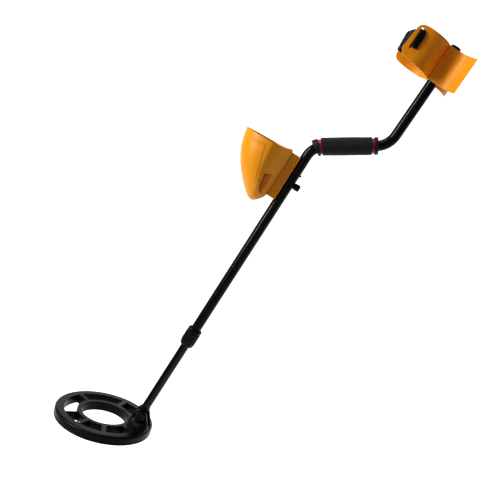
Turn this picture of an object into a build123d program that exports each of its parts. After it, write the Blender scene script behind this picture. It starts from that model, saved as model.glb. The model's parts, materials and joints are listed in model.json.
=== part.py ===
from build123d import *
import os
from math import asin, atan2, cos, degrees, hypot, radians, sin, sqrt, tan

# A hobby metal detector, held by its grip: an S-shaped upper rod with a foam grip and an
# armrest, a control housing, a telescopic lower rod and a tilting search coil.
# Millimetres and degrees. The origin is the middle of the grip, +X points back to the
# elbow, +Z is up and the whole detector is symmetric about the plane Y = 0.

# ---------------------------------------------------------------- driving dimensions
# rods
shaft_angle = 57.0            # lower rods above the horizontal
tail_angle = 56.0             # armrest end of the upper rod above the horizontal
rod_radius = 11.0             # upper rod and middle stem
rod_wall = 1.0
front_run = 66.3              # grip middle to the corner of the front bend
rear_run = 89.4               # grip middle to the corner of the rear bend
front_bend_radius = 42.0
rear_bend_radius = 48.0
shank_length = 81.6           # corner of the front bend to the rod joint
tail_length = 231.0           # corner of the rear bend to the open end of the rod
middle_length = 418.0
lower_radius = 9.5
lower_wall = 1.2
pin_distance = 618.6          # rod joint to the coil's hinge pin
insertion = 200.0             # lower stem inside the middle stem, above the lock collar
spigot_wall = 1.2
spigot_reach = 50.0           # each way from the rod joint
joint_gap = 0.5               # bare metal that shows at the rod joint

# clearances
turning_gap = 0.05            # radial clearance of a shaft that turns or slides
seat_gap = 0.05               # between faces that meet across a joint
screw_gap = 0.3               # radial clearance of a screw in a passing hole
soft_gap = 0.3                # foam and webbing from their neighbours

# grip
grip_radius = 18.7
grip_ring_radius = 18.2
grip_band_radius = 15.6
grip_ring_width = 9.5
grip_band_width = 5.0
rear_ring_width = 7.5
grip_bend_run = 4.5           # foam that follows the front bend before the band
grip_rear = 67.5              # rear face of the grip behind the grip middle

# armrest, in the tail's frame: x away from the rod, z along the rod
cuff_radius = 50.0
sheet = 3.0                   # wall of the armrest moulding
cuff_floor = 12.6             # underside of the cuff above the rod's axis
cuff_height = 88.0            # rear end of the cuff's top edge above the rod's axis
cuff_front_rise = 5.0         # front end of the top edge above the rear end
leg_root = 14.0               # half width of the legs where they leave the cuff
leg_flare_radius = 55.7
leg_reach = 42.0              # foot of the legs below the rod's axis
crease_start = 151.0
crease_end = 228.0
cuff_front = 159.0
cuff_rear = 225.0
leg_front = 149.0
leg_rear = 226.5
cuff_corner = 15.0
slot_height = 79.0
slot_width = 4.5
slot_start = 173.5
slot_end = 220.0
armrest_screw_spots = (172.0, 208.0)
strap_width = 38.0
strap_thickness = 1.6
strap_crown = 96.0
strap_tail = 13.0

# snap button and clamp knob, heights along the shaft from the rod joint
button_height = 16.0
button_radius = 2.45
button_proud = 2.8
knob_height = -8.0
knob_radius = 7.2
knob_length = 12.6
clamp_screw_radius = 2.5
insert_radius = 5.0

# lock collar
collar_over = 31.8            # collar above the middle stem's end
collar_under = 10.6           # and below it
collar_radius = 16.5
collar_flutes = 10
ferrule_radius = 13.5
ferrule_length = 24.0
ferrule_floor = 4.0
collet_length = 12.0
collet_slits = 4

# coil, in its own frame: x back to the heel, z out of the top face, origin in the top face
coil_pitch = 17.55            # toe up
coil_radius = 111.0
coil_thickness = 20.0
coil_rim_round = 5.0
hole_radius = 52.0
inner_ring_outer = 62.5
outer_ring_width = 19.0
cover_thickness = 6.0
heel_half_angle = 34.0
side_spoke_angle = 75.0
side_spoke_width = 10.5
toe_spoke_angle = 145.0
toe_spoke_width = 8.5
toe_web_width = 2.6
lead_spoke_angle = 112.0
lead_spoke_width = 9.0
lead_screw_out = 12.5         # small top screw beyond the middle of its spoke
pocket_corner = 2.6
coil_wall = 3.0
winding_width = 5.0
winding_height = 4.0
pin_inset = 30.4              # hinge pin inside the coil's edge
pin_rise = 27.0               # hinge pin above the top face
ear_radius = 14.0
ear_inset = 6.0               # foot of the ears inside the coil's edge
ear_length = 49.0
ear_gap_half = 12.8
ear_thickness = 5.0
buttress_reach = 40.0
knob_recess = 1.2             # room round the hinge knob in the buttress
pin_radius = 4.0
foot_half = 11.0
foot_radius = 10.4
foot_length = 22.0            # hinge pin to the lower stem's tube
hinge_knob_radius = 11.0
hinge_knob_width = 7.5
gland_inset = 50.4            # lead's grommet inside the coil's edge
gland_radius = 5.2

# control housing, in the shaft's frame: x away from the rod, z up the shaft
# height, front, rear, half width
housing_sections = (
    (57.0, 141.0, 27.0, 55.0),
    (46.0, 138.5, 27.0, 55.0),
    (20.0, 133.0, 27.0, 54.5),
    (-5.0, 123.5, 27.0, 53.0),
    (-30.0, 108.0, 27.0, 49.0),
    (-52.0, 89.5, 27.5, 41.0),
    (-67.0, 74.0, 35.0, 31.0),
    (-76.0, 63.0, 43.0, 20.0),
    (-79.5, 57.0, 48.0, 11.0),
)
housing_wall = 2.6
housing_back = 28.0           # flat face on the rod bracket, from the rod's axis
neck_half = 19.0              # half width where the housing meets the rod bracket
shoulder_share = 0.30         # corner where the side turns in, as a share of the depth
side_share = 0.42             # where the side is full, as a share of the depth
seam_width = 0.9              # shallow line round the flank's raised field
seam_depth = 0.5
rim_front = (138.5, 43.5)
rim_kink = (60.0, 47.5)
rim_lip = (31.7, 54.0)
rim_rear = (29.5, 49.0)
panel_height = 33.0
panel_thickness = 2.5
bracket_low = -52.0
bracket_high = 49.0
bracket_half = 19.0
bracket_near = 8.0            # face towards the rod, from the rod's axis
bracket_wall = 3.0
scoop_floor = 31.0            # half width left between the two scoops
scoop_start = 26.0            # floor slopes in towards the rod from here
scoop_slope = 13.0

# controls on the panel, x from the rod's axis and y across
knob_row = 56.0
knob_side = 30.0
control_knob_radius = 9.5
control_knob_height = 10.0
spindle_radius = 3.0
pot_radius = 8.0
pot_depth = 9.0
meter_row = 86.0
meter_half_depth = 14.0
meter_half_width = 25.0
meter_depth = 13.5
meter_wall = 1.5
speaker_row = 115.5
speaker_radius = 14.0
switch_half_depth = 7.0
switch_half_width = 5.0
lamp_spot = (43.0, -14.0)
jack_spot = (41.0, 9.0)
jack_bore_radius = 3.2
jack_body_radius = 5.5
jack_length = 16.0
board_height = 4.0
board_thickness = 1.6
board_ribs = (56.0, 98.0)
battery_size = (17.5, 26.5, 48.5)
battery_corner = (56.0, -33.5)
battery_near = -1.0           # inner side of the batteries, which slide out at the far flank
battery_gap = 0.6
battery_end = battery_corner[0] + 2 * battery_size[0] + battery_gap
door_margin = 0.4
door_gap = 0.25

socket_spot = (45.2, -30.0)
socket_thread = 4.6

# ---------------------------------------------------------------- frames
shaft_dir = Vector(cos(radians(shaft_angle)), 0, sin(radians(shaft_angle)))
shaft_side = Vector(-sin(radians(shaft_angle)), 0, cos(radians(shaft_angle)))
tail_dir = Vector(cos(radians(tail_angle)), 0, sin(radians(tail_angle)))
tail_side = Vector(-sin(radians(tail_angle)), 0, cos(radians(tail_angle)))
coil_back = Vector(cos(radians(coil_pitch)), 0, -sin(radians(coil_pitch)))
coil_up = Vector(sin(radians(coil_pitch)), 0, cos(radians(coil_pitch)))

front_corner = Vector(-front_run, 0, 0)
rear_corner = Vector(rear_run, 0, 0)
outer_ring_inner = coil_radius - outer_ring_width
pin_back = coil_radius - pin_inset
ear_back = coil_radius - ear_inset
ear_front = ear_back - ear_length
gland_spot = (coil_radius - gland_inset, 0.0)
collar_top = middle_length - collar_over
collar_bottom = middle_length + collar_under
joint_point = front_corner - shaft_dir * shank_length
rod_end = rear_corner + tail_dir * tail_length
pin_point = joint_point - shaft_dir * pin_distance
coil_centre = pin_point - coil_back * pin_back - coil_up * pin_rise

shaft = Plane(origin=joint_point, x_dir=shaft_side, z_dir=shaft_dir)
tail = Plane(origin=rear_corner, x_dir=tail_side, z_dir=tail_dir)
coil = Plane(origin=coil_centre, x_dir=coil_back, z_dir=coil_up)
FAR = 200.0                   # longer than any cut has to reach


# ---------------------------------------------------------------- small makers
def save(name, plane, shape):
    """Carry a shape from its local frame into the detector's frame and write it."""
    solids = [plane.location * solid for solid in shape.solids()]
    export_step(Compound(solids), f"parts/{name}.step")


def bar(radius, low, high):
    """Round bar along local Z."""
    return Pos(0, 0, (low + high) / 2) * Cylinder(radius, high - low)


def tube(outer, inner, low, high):
    return bar(outer, low, high) - bar(inner, low, high)


def block(x0, x1, y0, y1, z0, z1):
    middle = ((x0 + x1) / 2, (y0 + y1) / 2, (z0 + z1) / 2)
    return Pos(*middle) * Box(x1 - x0, y1 - y0, z1 - z0)


def across(radius, low, high, x=0.0, z=0.0):
    """Round bar along local Y, through the point x, z."""
    return Pos(x, 0, z) * (Rot(X=-90) * bar(radius, low, high))


def outward(radius, low, high, z=0.0, y=0.0):
    """Round bar along local X, away from the rod."""
    return Pos(0, y, z) * (Rot(Y=90) * bar(radius, low, high))


def side_prism(points, half, corners=None, corner_radius=0.0):
    """Prism of an outline in local X, Z, reaching half to each side in Y."""
    outline = Polyline(*[(x, z) for x, z in points], close=True)
    face = make_face(outline)
    if corners:
        chosen = [v for v in face.vertices() if (round(v.X, 3), round(v.Y, 3)) in corners]
        face = fillet(chosen, corner_radius)
    return extrude(Plane.XZ * face, half, both=True)


def tangent_point(point, centre, radius, turn):
    """Where a line from a point touches a circle; turn is +1 or -1."""
    dx = centre[0] - point[0]
    dz = centre[1] - point[1]
    reach = hypot(dx, dz)
    angle = atan2(dz, dx) + turn * asin(radius / reach)
    run = sqrt(reach**2 - radius**2)
    return (point[0] + run * cos(angle), point[1] + run * sin(angle))


def group(parts):
    """Several separate solids of one node."""
    return Compound([solid for part in parts for solid in part.solids()])


# ---------------------------------------------------------------- rods
def upper_rod():
    """S-shaped tube: shank, front bend, grip run, rear bend and tail."""
    path = FilletPolyline(
        joint_point, front_corner, rear_corner, rod_end,
        radius=[front_bend_radius, rear_bend_radius],
    )
    end = Plane(origin=joint_point, z_dir=shaft_dir)
    outer = sweep(end * Circle(rod_radius), path=path)
    inner = sweep(end * Circle(rod_radius - rod_wall), path=path)
    button_hole = shaft.location * outward(button_radius + turning_gap, -FAR, 0, button_height)
    holes = [outward(2.0 + screw_gap, 0, cuff_floor, spot) for spot in armrest_screw_spots]
    rod = outer - inner - button_hole
    for hole in holes:
        rod -= tail.location * hole
    return rod


def spigot():
    """Inner tube that joins the upper rod and the middle stem."""
    outer = rod_radius - rod_wall - seat_gap
    piece = tube(outer, outer - spigot_wall, -spigot_reach - 10, spigot_reach)
    piece -= outward(button_radius + turning_gap, -FAR, 0, button_height)
    return piece - outward(clamp_screw_radius + screw_gap, -FAR, FAR, knob_height)


def middle_stem():
    piece = tube(rod_radius, rod_radius - rod_wall, -middle_length, -joint_gap)
    return piece - outward(clamp_screw_radius + screw_gap, -FAR, FAR, knob_height)


def rod_cap():
    """Plug and dome in the open end of the upper rod."""
    plug = bar(rod_radius - rod_wall - seat_gap, tail_length - 14, tail_length)
    dome = fillet(bar(rod_radius, tail_length, tail_length + 3.5).edges().sort_by(Axis.Z)[-1], 2.5)
    return plug + dome


# ---------------------------------------------------------------- snap button
def snap_button():
    head_top = -(rod_radius + button_proud)
    flange_face = -(rod_radius - rod_wall - seat_gap - spigot_wall - 0.9)
    post = outward(button_radius, head_top, flange_face, button_height)
    tip = post.edges().sort_by(Axis.X)[0]
    post = fillet(tip, 1.6)
    return post + outward(button_radius + 1.1, flange_face, flange_face + 0.8, button_height)


def snap_spring():
    """Bent leaf that pushes the button out from the opposite wall of the spigot."""
    wall = rod_radius - rod_wall - seat_gap - spigot_wall
    start = (-(wall - 0.9) + 0.8 + 0.35, button_height)
    points = [
        (start[0], button_height - 3),
        (start[0], button_height + 3),
        (0, button_height + 26),
        (wall - 0.9, button_height + 3),
        (wall - 0.9, button_height - 6),
    ]
    leaf = trace(Polyline(*points), line_width=0.6)
    return extrude(Plane.XZ * leaf, 2.2, both=True)


# ---------------------------------------------------------------- clamp knob
def clamp_knob():
    """Fluted thumb knob under the rod joint, on the end of the clamp screw."""
    start = rod_radius + 1.2
    body = bar(knob_radius, start, start + knob_length)
    body = fillet(body.edges().sort_by(Axis.Z)[-1], 3.2)
    for spot in PolarLocations(knob_radius + 1.0, 12):
        body -= spot * bar(1.6, start + 1.5, start + knob_length + 1)
    body -= bar(clamp_screw_radius, start - 1, start + knob_length - 4)
    return Pos(0, 0, knob_height) * (Rot(Y=-90) * body)


def clamp_screw():
    tip = bracket_near + 14
    return outward(clamp_screw_radius, -(rod_radius + knob_length - 2.8), tip, knob_height)


def clamp_saddle():
    """Washer that sits on the round of the middle stem under the knob."""
    washer = outward(6.2, -(rod_radius + 1.2 - seat_gap), -(rod_radius - 3), knob_height)
    washer -= bar(rod_radius, -30, 30)
    return washer - outward(clamp_screw_radius + screw_gap, -FAR, FAR, knob_height)


def clamp_insert():
    """Threaded brass bush in the rod bracket."""
    start = bracket_near + 5
    bush = outward(insert_radius, start, start + 9, knob_height)
    return bush - outward(clamp_screw_radius + turning_gap, -FAR, FAR, knob_height)


# ---------------------------------------------------------------- length lock
def stem_ferrule():
    """Sleeve on the middle stem's end, with a floor that stops the tube."""
    low = -middle_length - ferrule_floor
    piece = bar(ferrule_radius, low, low + ferrule_length)
    piece -= bar(rod_radius, -middle_length, low + ferrule_length + 1)
    return piece - bar(lower_radius + turning_gap, low - 1, -middle_length + 1)


def collet():
    """Split ring that the collar squeezes onto the lower stem."""
    high = -middle_length - ferrule_floor
    low = high - collet_length + 6.5
    ring_top = bar(lower_radius + 2.2, low, high)
    ring_top -= bar(lower_radius + turning_gap, low - 1, high + 1)
    for turn in range(collet_slits):
        cut = Rot(Z=turn * 360 / collet_slits) * block(0, FAR, -0.6, 0.6, low - 1, high - 2)
        ring_top -= cut
    return ring_top


def lock_collar():
    """Fluted nut: turning it squeezes the collet."""
    top = -collar_top
    low = -collar_bottom
    profile = [
        (0, low), (13.4, low), (14.6, low + 1.6), (15.8, low + 7), (collar_radius, low + 10),
        (collar_radius, top - 9), (collar_radius - 1.6, top - 8), (collar_radius - 1.6, top - 6),
        (collar_radius - 0.4, top - 5.4), (collar_radius - 0.4, top - 1.4),
        (collar_radius - 1.6, top), (0, top),
    ]
    body = revolve(Plane.XZ * make_face(Polyline(*profile, close=True)), Axis.Z)
    for spot in PolarLocations(collar_radius + 2.0, collar_flutes):
        body -= spot * bar(3.4, low + 5, top - 10)
    bore_low = -middle_length - ferrule_floor
    body -= bar(ferrule_radius + turning_gap, bore_low, top + 1)
    return body - bar(lower_radius + 2.2 + turning_gap, low - 1, bore_low + 1)


# ---------------------------------------------------------------- lower stem
def lower_stem():
    top = -collar_bottom + insertion
    low = -pin_distance + foot_length
    return tube(lower_radius, lower_radius - lower_wall, low, top)


def guide_bush():
    """Plug in the lower stem's top, whose flange slides in the middle stem."""
    top = -collar_bottom + insertion
    flange = bar(rod_radius - rod_wall - turning_gap, top + seat_gap, top + 9)
    spigot_part = bar(lower_radius - lower_wall - turning_gap, top - 22, top + seat_gap)
    return flange + spigot_part - bar(4.0, top - 23, top + 10)


def stem_foot():
    """Plastic tongue on the lower stem that turns between the coil's ears."""
    pin = -pin_distance
    shoulder = pin + foot_length
    tongue = across(foot_radius, -foot_half, foot_half, 0, pin)
    tongue += block(-foot_radius, foot_radius, -foot_half, foot_half, pin, shoulder - 8)
    round_boss = bar(lower_radius, shoulder - 12, shoulder)
    tongue = tongue + round_boss
    plug = bar(lower_radius - lower_wall - seat_gap, shoulder - 1, shoulder + 26)
    bore = bar(lower_radius - lower_wall - 2.4, shoulder - 4, shoulder + 27)
    return tongue + plug - bore - across(pin_radius + turning_gap, -FAR, FAR, 0, pin)


# ---------------------------------------------------------------- search coil
def spoke(angle, width):
    """Straight spoke between the two rings, at an angle from the heel."""
    middle = (inner_ring_outer + outer_ring_inner) / 2
    length = outer_ring_inner - inner_ring_outer + 20
    return Rot(Z=angle) * (Pos(middle, 0) * Rectangle(length, width))


def coil_pockets():
    """Open sectors between the rings, with rounded corners."""
    open_ring = Circle(outer_ring_inner) - Circle(inner_ring_outer)
    reach = 2 * coil_radius
    wedge = Polyline(
        (0, 0),
        (reach, reach * tan(radians(heel_half_angle))),
        (reach, -reach * tan(radians(heel_half_angle))),
        close=True,
    )
    open_ring -= make_face(wedge)
    for angle, width in (
        (side_spoke_angle, side_spoke_width),
        (-side_spoke_angle, side_spoke_width),
        (toe_spoke_angle, toe_spoke_width),
        (-toe_spoke_angle, toe_web_width),
        (-lead_spoke_angle, lead_spoke_width),
    ):
        open_ring -= spoke(angle, width)
    pockets = Sketch()
    for face in open_ring.faces():
        pockets += fillet(face.vertices(), pocket_corner)
    return pockets


def winding_space(middle, half, low, high):
    return tube(middle + half, middle - half, low, high)


def ear_outline():
    """Side view of one ear: a round eye on a wide, tapering foot."""
    eye = (pin_back, pin_rise)
    front = tangent_point((ear_front, 0), eye, ear_radius, 1)
    back = tangent_point((ear_back, 0), eye, ear_radius, -1)
    foot = make_face(Polyline((ear_front, -1), (ear_front, 0), front, eye, back,
                              (ear_back, 0), (ear_back, -1), close=True))
    return foot + Pos(*eye) * Circle(ear_radius)


def buttress(side):
    """Flared rib that carries an ear on the outside, thinning out over the rings."""
    outer_face = ear_gap_half + ear_thickness
    middle = (ear_front + ear_back) / 2
    sections = []
    for share, half, height in ((0, 24, 24), (0.3, 22, 10.5), (0.68, 15, 4.2), (1, 6, 1.2)):
        y = side * (outer_face - 1 + share * buttress_reach)
        shape = Pos(middle, -1) * Ellipse(half, height + 1)
        shape -= Pos(middle, -1 - FAR / 2) * Rectangle(FAR, FAR)
        sections.append(Plane(origin=(0, y, 0), x_dir=(1, 0, 0), z_dir=(0, -1, 0)) * shape)
    return loft(sections)


def coil_moulding():
    """Rings, spokes, heel plate and the two ears of the hinge, in one moulding."""
    depth = coil_thickness - cover_thickness
    disc = Pos(0, 0, -depth) * extrude(Circle(coil_radius) - Circle(hole_radius), depth)
    top_edges = disc.edges().filter_by(GeomType.CIRCLE).group_by(Axis.Z)[-1].sort_by(SortBy.RADIUS)
    disc = fillet(top_edges[-1], coil_rim_round)
    inner_edge = disc.edges().filter_by(GeomType.CIRCLE).group_by(Axis.Z)[-1].sort_by(SortBy.RADIUS)
    disc = fillet(inner_edge[0], 1.8)
    holes = Pos(0, 0, -depth - 1) * extrude(coil_pockets(), depth + 2)
    body = disc - holes
    outer_middle = (coil_radius + outer_ring_inner) / 2
    outer_half = (coil_radius - outer_ring_inner) / 2 - coil_wall
    inner_middle = (inner_ring_outer + hole_radius) / 2
    inner_half = (inner_ring_outer - hole_radius) / 2 - coil_wall + 0.8
    body -= winding_space(outer_middle, outer_half, -depth - 1, -coil_wall)
    body -= winding_space(inner_middle, inner_half, -depth - 1, -coil_wall)
    outer_face = ear_gap_half + ear_thickness
    plate = extrude(Plane.XZ * ear_outline(), outer_face, both=True)
    plate -= block(0, FAR, -ear_gap_half, ear_gap_half, 0, FAR)
    for side in (1, -1):
        plate += buttress(side)
    recess = across(hinge_knob_radius + knob_recess, -FAR, FAR, pin_back, pin_rise)
    plate -= recess - block(0, FAR, -outer_face, outer_face, 0, FAR)
    boss = across(ear_radius - 2, -outer_face - 1, outer_face + 1, pin_back, pin_rise)
    plate += boss - block(0, FAR, -ear_gap_half, ear_gap_half, 0, FAR)
    rim = bar(coil_radius - 1.2, -coil_wall + 1, FAR) - bar(hole_radius + 2, -FAR, FAR)
    body += plate & rim
    body -= across(pin_radius + turning_gap, -FAR, FAR, pin_back, pin_rise)
    body -= Pos(*gland_spot, 0) * bar(gland_radius - 1.2, -coil_wall - 2, FAR)
    for x, y in screw_spots():
        body -= Pos(x, y, 0) * bar(1.5, -FAR, -coil_wall)
    return body - Pos(*lead_screw_spot(), 0) * bar(1.1, -coil_wall, 1)


def spoke_room():
    """Space between the rings on the toe side of the heel plate, where only spokes cross."""
    plate_front = inner_ring_outer * cos(radians(heel_half_angle)) - 3 * pocket_corner
    ring = tube(outer_ring_inner, inner_ring_outer, -FAR, FAR)
    return ring - block(plate_front, FAR, -FAR, FAR, -FAR, FAR)


def screw_spots():
    """Screws that hold the cover, under the heel plate and the spokes."""
    middle = (inner_ring_outer + outer_ring_inner) / 2
    angles = (14, -14, side_spoke_angle, -side_spoke_angle, toe_spoke_angle, -lead_spoke_angle)
    return [(middle * cos(radians(a)), middle * sin(radians(a))) for a in angles]


def lead_screw_spot():
    """Small screw in the top face, on the spoke that carries the lead."""
    middle = (inner_ring_outer + outer_ring_inner) / 2 + lead_screw_out
    angle = radians(-lead_spoke_angle)
    return (middle * cos(angle), middle * sin(angle))


def coil_cover():
    """Underside of the coil, with a shallow step round its edge."""
    low = -coil_thickness
    high = -(coil_thickness - cover_thickness)
    disc = Pos(0, 0, low) * extrude(Circle(coil_radius) - Circle(hole_radius), cover_thickness)
    low_edges = disc.edges().filter_by(GeomType.CIRCLE).group_by(Axis.Z)[0].sort_by(SortBy.RADIUS)
    disc = fillet(low_edges[-1], 2.5)
    disc -= tube(coil_radius + 1, coil_radius - 0.9, high - 1.2, high + 1)
    disc -= Pos(0, 0, low - 1) * extrude(coil_pockets(), cover_thickness + 2)
    for x, y in screw_spots():
        disc -= Pos(x, y, 0) * bar(1.5 + screw_gap, -FAR, FAR)
        disc -= Pos(x, y, 0) * bar(3.3, -FAR, low + 2.6)
    return disc


def cover_screws():
    low = -coil_thickness
    made = []
    for x, y in screw_spots():
        screw = bar(3.0, low + 0.6, low + 2.6) + bar(1.5, low + 2.6, -coil_wall - 1)
        screw -= block(-2.2, 2.2, -0.4, 0.4, low, low + 1.5)
        screw -= block(-0.4, 0.4, -2.2, 2.2, low, low + 1.5)
        made.append(Pos(x, y, 0) * screw)
    top_screw = bar(2.2, 0, 1.0) + bar(1.1, -coil_wall + 0.2, 0)
    top_screw -= block(-1.6, 1.6, -0.3, 0.3, 0.5, 2)
    made.append(Pos(*lead_screw_spot(), 0) * top_screw)
    return group(made)


def winding(inner, outer):
    """Taped bundle of wire that lies on the cover, in its channel."""
    middle = (inner + outer) / 2
    floor = -(coil_thickness - cover_thickness)
    return winding_space(middle, winding_width / 2, floor, floor + winding_height)


def lead_gland():
    """Ribbed grommet where the coil's lead would enter, on the heel plate."""
    body = bar(gland_radius - 1.2, -coil_wall - 2, 0) + bar(gland_radius, 0, 2.0)
    body += bar(gland_radius - 1.2, 2.0, 9.5)
    for level in (3.4, 5.2, 7.0):
        body -= tube(gland_radius, gland_radius - 2.0, level, level + 0.9)
    body -= bar(2.0, -coil_wall - 3, 10)
    return Pos(*gland_spot, 0) * body


def hinge_bolt():
    """Nylon bolt through both ears and the stem foot, head on the far side."""
    boss = ear_gap_half + ear_thickness + 1
    head = across(8.5, boss, boss + 5, pin_back, pin_rise)
    head = fillet(head.edges().sort_by(Axis.Y)[-1], 2.0)
    shank = across(pin_radius, -boss - hinge_knob_width + 2, boss, pin_back, pin_rise)
    return head + shank


def hinge_knob():
    """Fluted round nut on the near side that clamps the coil's tilt."""
    start = ear_gap_half + ear_thickness + 1 + seat_gap
    body = bar(hinge_knob_radius, start, start + hinge_knob_width)
    body = fillet(body.edges().sort_by(Axis.Z)[-1], 2.2)
    for spot in PolarLocations(hinge_knob_radius + 1.3, 16):
        body -= spot * bar(2.0, start + 1.2, start + hinge_knob_width + 1)
    body -= bar(pin_radius + turning_gap, start - 1, start + hinge_knob_width - 1.8)
    return Pos(pin_back, 0, pin_rise) * (Rot(X=90) * body)


def hinge_washers():
    """Rubber washers between the foot and the ears."""
    made = []
    for low, high in ((foot_half + seat_gap, ear_gap_half), (-ear_gap_half, -foot_half - seat_gap)):
        washer = across(foot_radius - 1, low, high, pin_back, pin_rise)
        made.append(washer - across(pin_radius, -FAR, FAR, pin_back, pin_rise))
    return group(made)


# ---------------------------------------------------------------- grip
bend_run = front_bend_radius * tan(radians(shaft_angle / 2))
straight_start = -front_run + bend_run       # where the grip's straight run begins


def front_bend_piece(radius, start_run, end_run):
    """Sleeve round the front bend between two distances before the straight run."""
    arc = CenterArc((straight_start, -front_bend_radius, 0), front_bend_radius,
                    90 + degrees(end_run / front_bend_radius),
                    degrees((start_run - end_run) / front_bend_radius))
    path = Plane.XZ * arc
    end = Plane(origin=path @ 0, z_dir=path % 0)
    solid = sweep(end * Circle(radius), path=path)
    return solid - sweep(end * Circle(rod_radius), path=path)


def straight_ring(radius, low, high, bore=rod_radius):
    return Rot(Y=90) * tube(radius, bore, low, high)


def grip_sleeve():
    """Foam sleeve over the straight run of the grip and the start of the bend."""
    high = grip_rear - rear_ring_width - grip_band_width
    body = Rot(Y=90) * bar(grip_radius, straight_start, high)
    body = fillet(body.edges().filter_by(GeomType.CIRCLE).sort_by(Axis.X)[-1], 1.6)
    body -= Rot(Y=90) * bar(rod_radius, straight_start - 1, high + 1)
    return body + front_bend_piece(grip_radius, grip_bend_run, 0)


def grip_bands():
    band_end = grip_rear - rear_ring_width
    front = front_bend_piece(grip_band_radius, grip_bend_run + grip_band_width, grip_bend_run)
    return group([front, straight_ring(grip_band_radius, band_end - grip_band_width, band_end)])


def grip_rings():
    behind = grip_bend_run + grip_band_width
    front = front_bend_piece(grip_ring_radius, behind + grip_ring_width, behind)
    rear = Rot(Y=90) * bar(grip_ring_radius, grip_rear - rear_ring_width, grip_rear)
    rear = fillet(rear.edges().filter_by(GeomType.CIRCLE), 1.4)
    rear -= Rot(Y=90) * bar(rod_radius + soft_gap, 0, grip_rear + 1)
    return group([front, rear])


# ---------------------------------------------------------------- armrest
def armrest():
    """Cuff, saddle and stand legs, one moulding of even wall."""
    centre = cuff_floor + cuff_radius
    cuff = Pos(centre, 0) * (Circle(cuff_radius) - Circle(cuff_radius - sheet))
    cuff -= Pos(centre + cuff_radius, 0) * Rectangle(2 * cuff_radius, 3 * cuff_radius)
    section = cuff
    for side in (1, -1):
        wall_middle = side * (cuff_radius - sheet / 2)
        wall_length = cuff_height + cuff_front_rise - centre
        section += Pos(centre + wall_length / 2, wall_middle) * Rectangle(wall_length, sheet)
        flare_centre = (cuff_floor, side * (leg_root + leg_flare_radius))
        flare = Pos(*flare_centre) * (Circle(leg_flare_radius + sheet) - Circle(leg_flare_radius))
        quarter = Pos(cuff_floor - leg_reach / 2 - cuff_floor / 2, side * (leg_root + leg_flare_radius) / 2)
        flare &= quarter * Rectangle(leg_reach + cuff_floor, leg_root + leg_flare_radius)
        section += flare
    web = Pos((bracket_near + cuff_floor + sheet) / 2, 0)
    web = web * Rectangle(cuff_floor + sheet - bracket_near, 2 * leg_root)
    web -= Pos(cuff_floor + cuff_radius, 0) * Circle(cuff_radius - sheet)
    section += web
    section -= Circle(rod_radius)
    body = Pos(0, 0, leg_front - 5) * extrude(section, leg_rear - leg_front + 20)
    front_top = cuff_height + cuff_front_rise
    outline = [
        (-leg_reach - 2, leg_front), (cuff_floor, crease_start), (cuff_floor + 36, crease_start + 2.3),
        (cuff_floor + 59, crease_start + 4.4), (front_top, cuff_front), (cuff_height, cuff_rear),
        (cuff_height - 20, crease_end), (cuff_floor, crease_end), (-leg_reach - 2, leg_rear),
    ]
    corners = {(front_top, cuff_front), (cuff_height, cuff_rear)}
    body &= side_prism(outline, cuff_radius + 20, corners, cuff_corner)
    body -= block(slot_height - slot_width / 2, slot_height + slot_width / 2, -FAR, FAR, slot_start, slot_end)
    for spot in armrest_screw_spots:
        body -= outward(2.0 + screw_gap, 0, FAR, spot)
        body -= outward(4.6, cuff_floor + sheet - 1.6, FAR, spot)
    return body


def armrest_screws():
    """Flat-headed screws from the cuff's floor into the rod."""
    top = cuff_floor + sheet
    made = []
    for spot in armrest_screw_spots:
        screw = outward(4.2, top - 1.6, top - 0.3, spot) + outward(2.0, 1.0, top - 1.6, spot)
        screw -= Pos(0, 0, spot) * block(top - 1.1, top, -3, 3, -0.4, 0.4)
        screw -= Pos(0, 0, spot) * block(top - 1.1, top, -0.4, 0.4, -3, 3)
        made.append(screw)
    return group(made)


def armrest_nuts():
    """Curved nut strips inside the rod, one under each screw."""
    inner = rod_radius - rod_wall
    made = []
    for spot in armrest_screw_spots:
        nut = block(inner - 5, inner, -5, 5, spot - 5, spot + 5) & bar(inner, spot - 6, spot + 6)
        made.append(nut - outward(2.0, 0, FAR, spot))
    return group(made)


def arm_strap():
    """Webbing band over the arm: through both slots, with a folded tail outside each."""
    half = strap_thickness / 2
    middle = (slot_start + slot_end) / 2
    reach = cuff_radius - sheet - 1.6
    rise = strap_crown - slot_height - 3
    outer = Ellipse(rise + half, reach + half) - Ellipse(rise - half, reach - half)
    arch = Pos(slot_height + 3, 0) * outer
    arch -= Pos(slot_height + 3 - FAR / 2, 0) * Rectangle(FAR, FAR)
    outside = cuff_radius + 1.4
    section = arch
    for side in (1, -1):
        riser = Pos(slot_height + 1.5 - half / 2, side * reach)
        section += riser * Rectangle(3 + half, strap_thickness)
        link = Pos(slot_height, side * (reach + outside) / 2)
        section += link * Rectangle(strap_thickness, outside - reach + strap_thickness)
        fold = Pos(slot_height + half - strap_tail / 2, side * outside)
        section += fold * Rectangle(strap_tail, strap_thickness)
    return Pos(0, 0, middle - strap_width / 2) * extrude(section, strap_width)


def strap_stops():
    """Moulded lens-shaped bars sewn to the strap's two tails, too wide to pull back through."""
    middle = (slot_start + slot_end) / 2
    low = slot_height + strap_thickness / 2 - strap_tail
    outline = Pos(low + strap_tail / 2, middle) * Ellipse(strap_tail / 2, strap_width / 2)
    made = []
    for side in (1, -1):
        y = side * (cuff_radius + 1.4 + strap_thickness / 2 + 1.0)
        flat = Plane(origin=(0, y, 0), x_dir=(1, 0, 0), z_dir=(0, -1, 0))
        made.append(fillet(extrude(flat * outline, 1, both=True).edges(), 0.6))
    return group(made)


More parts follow.
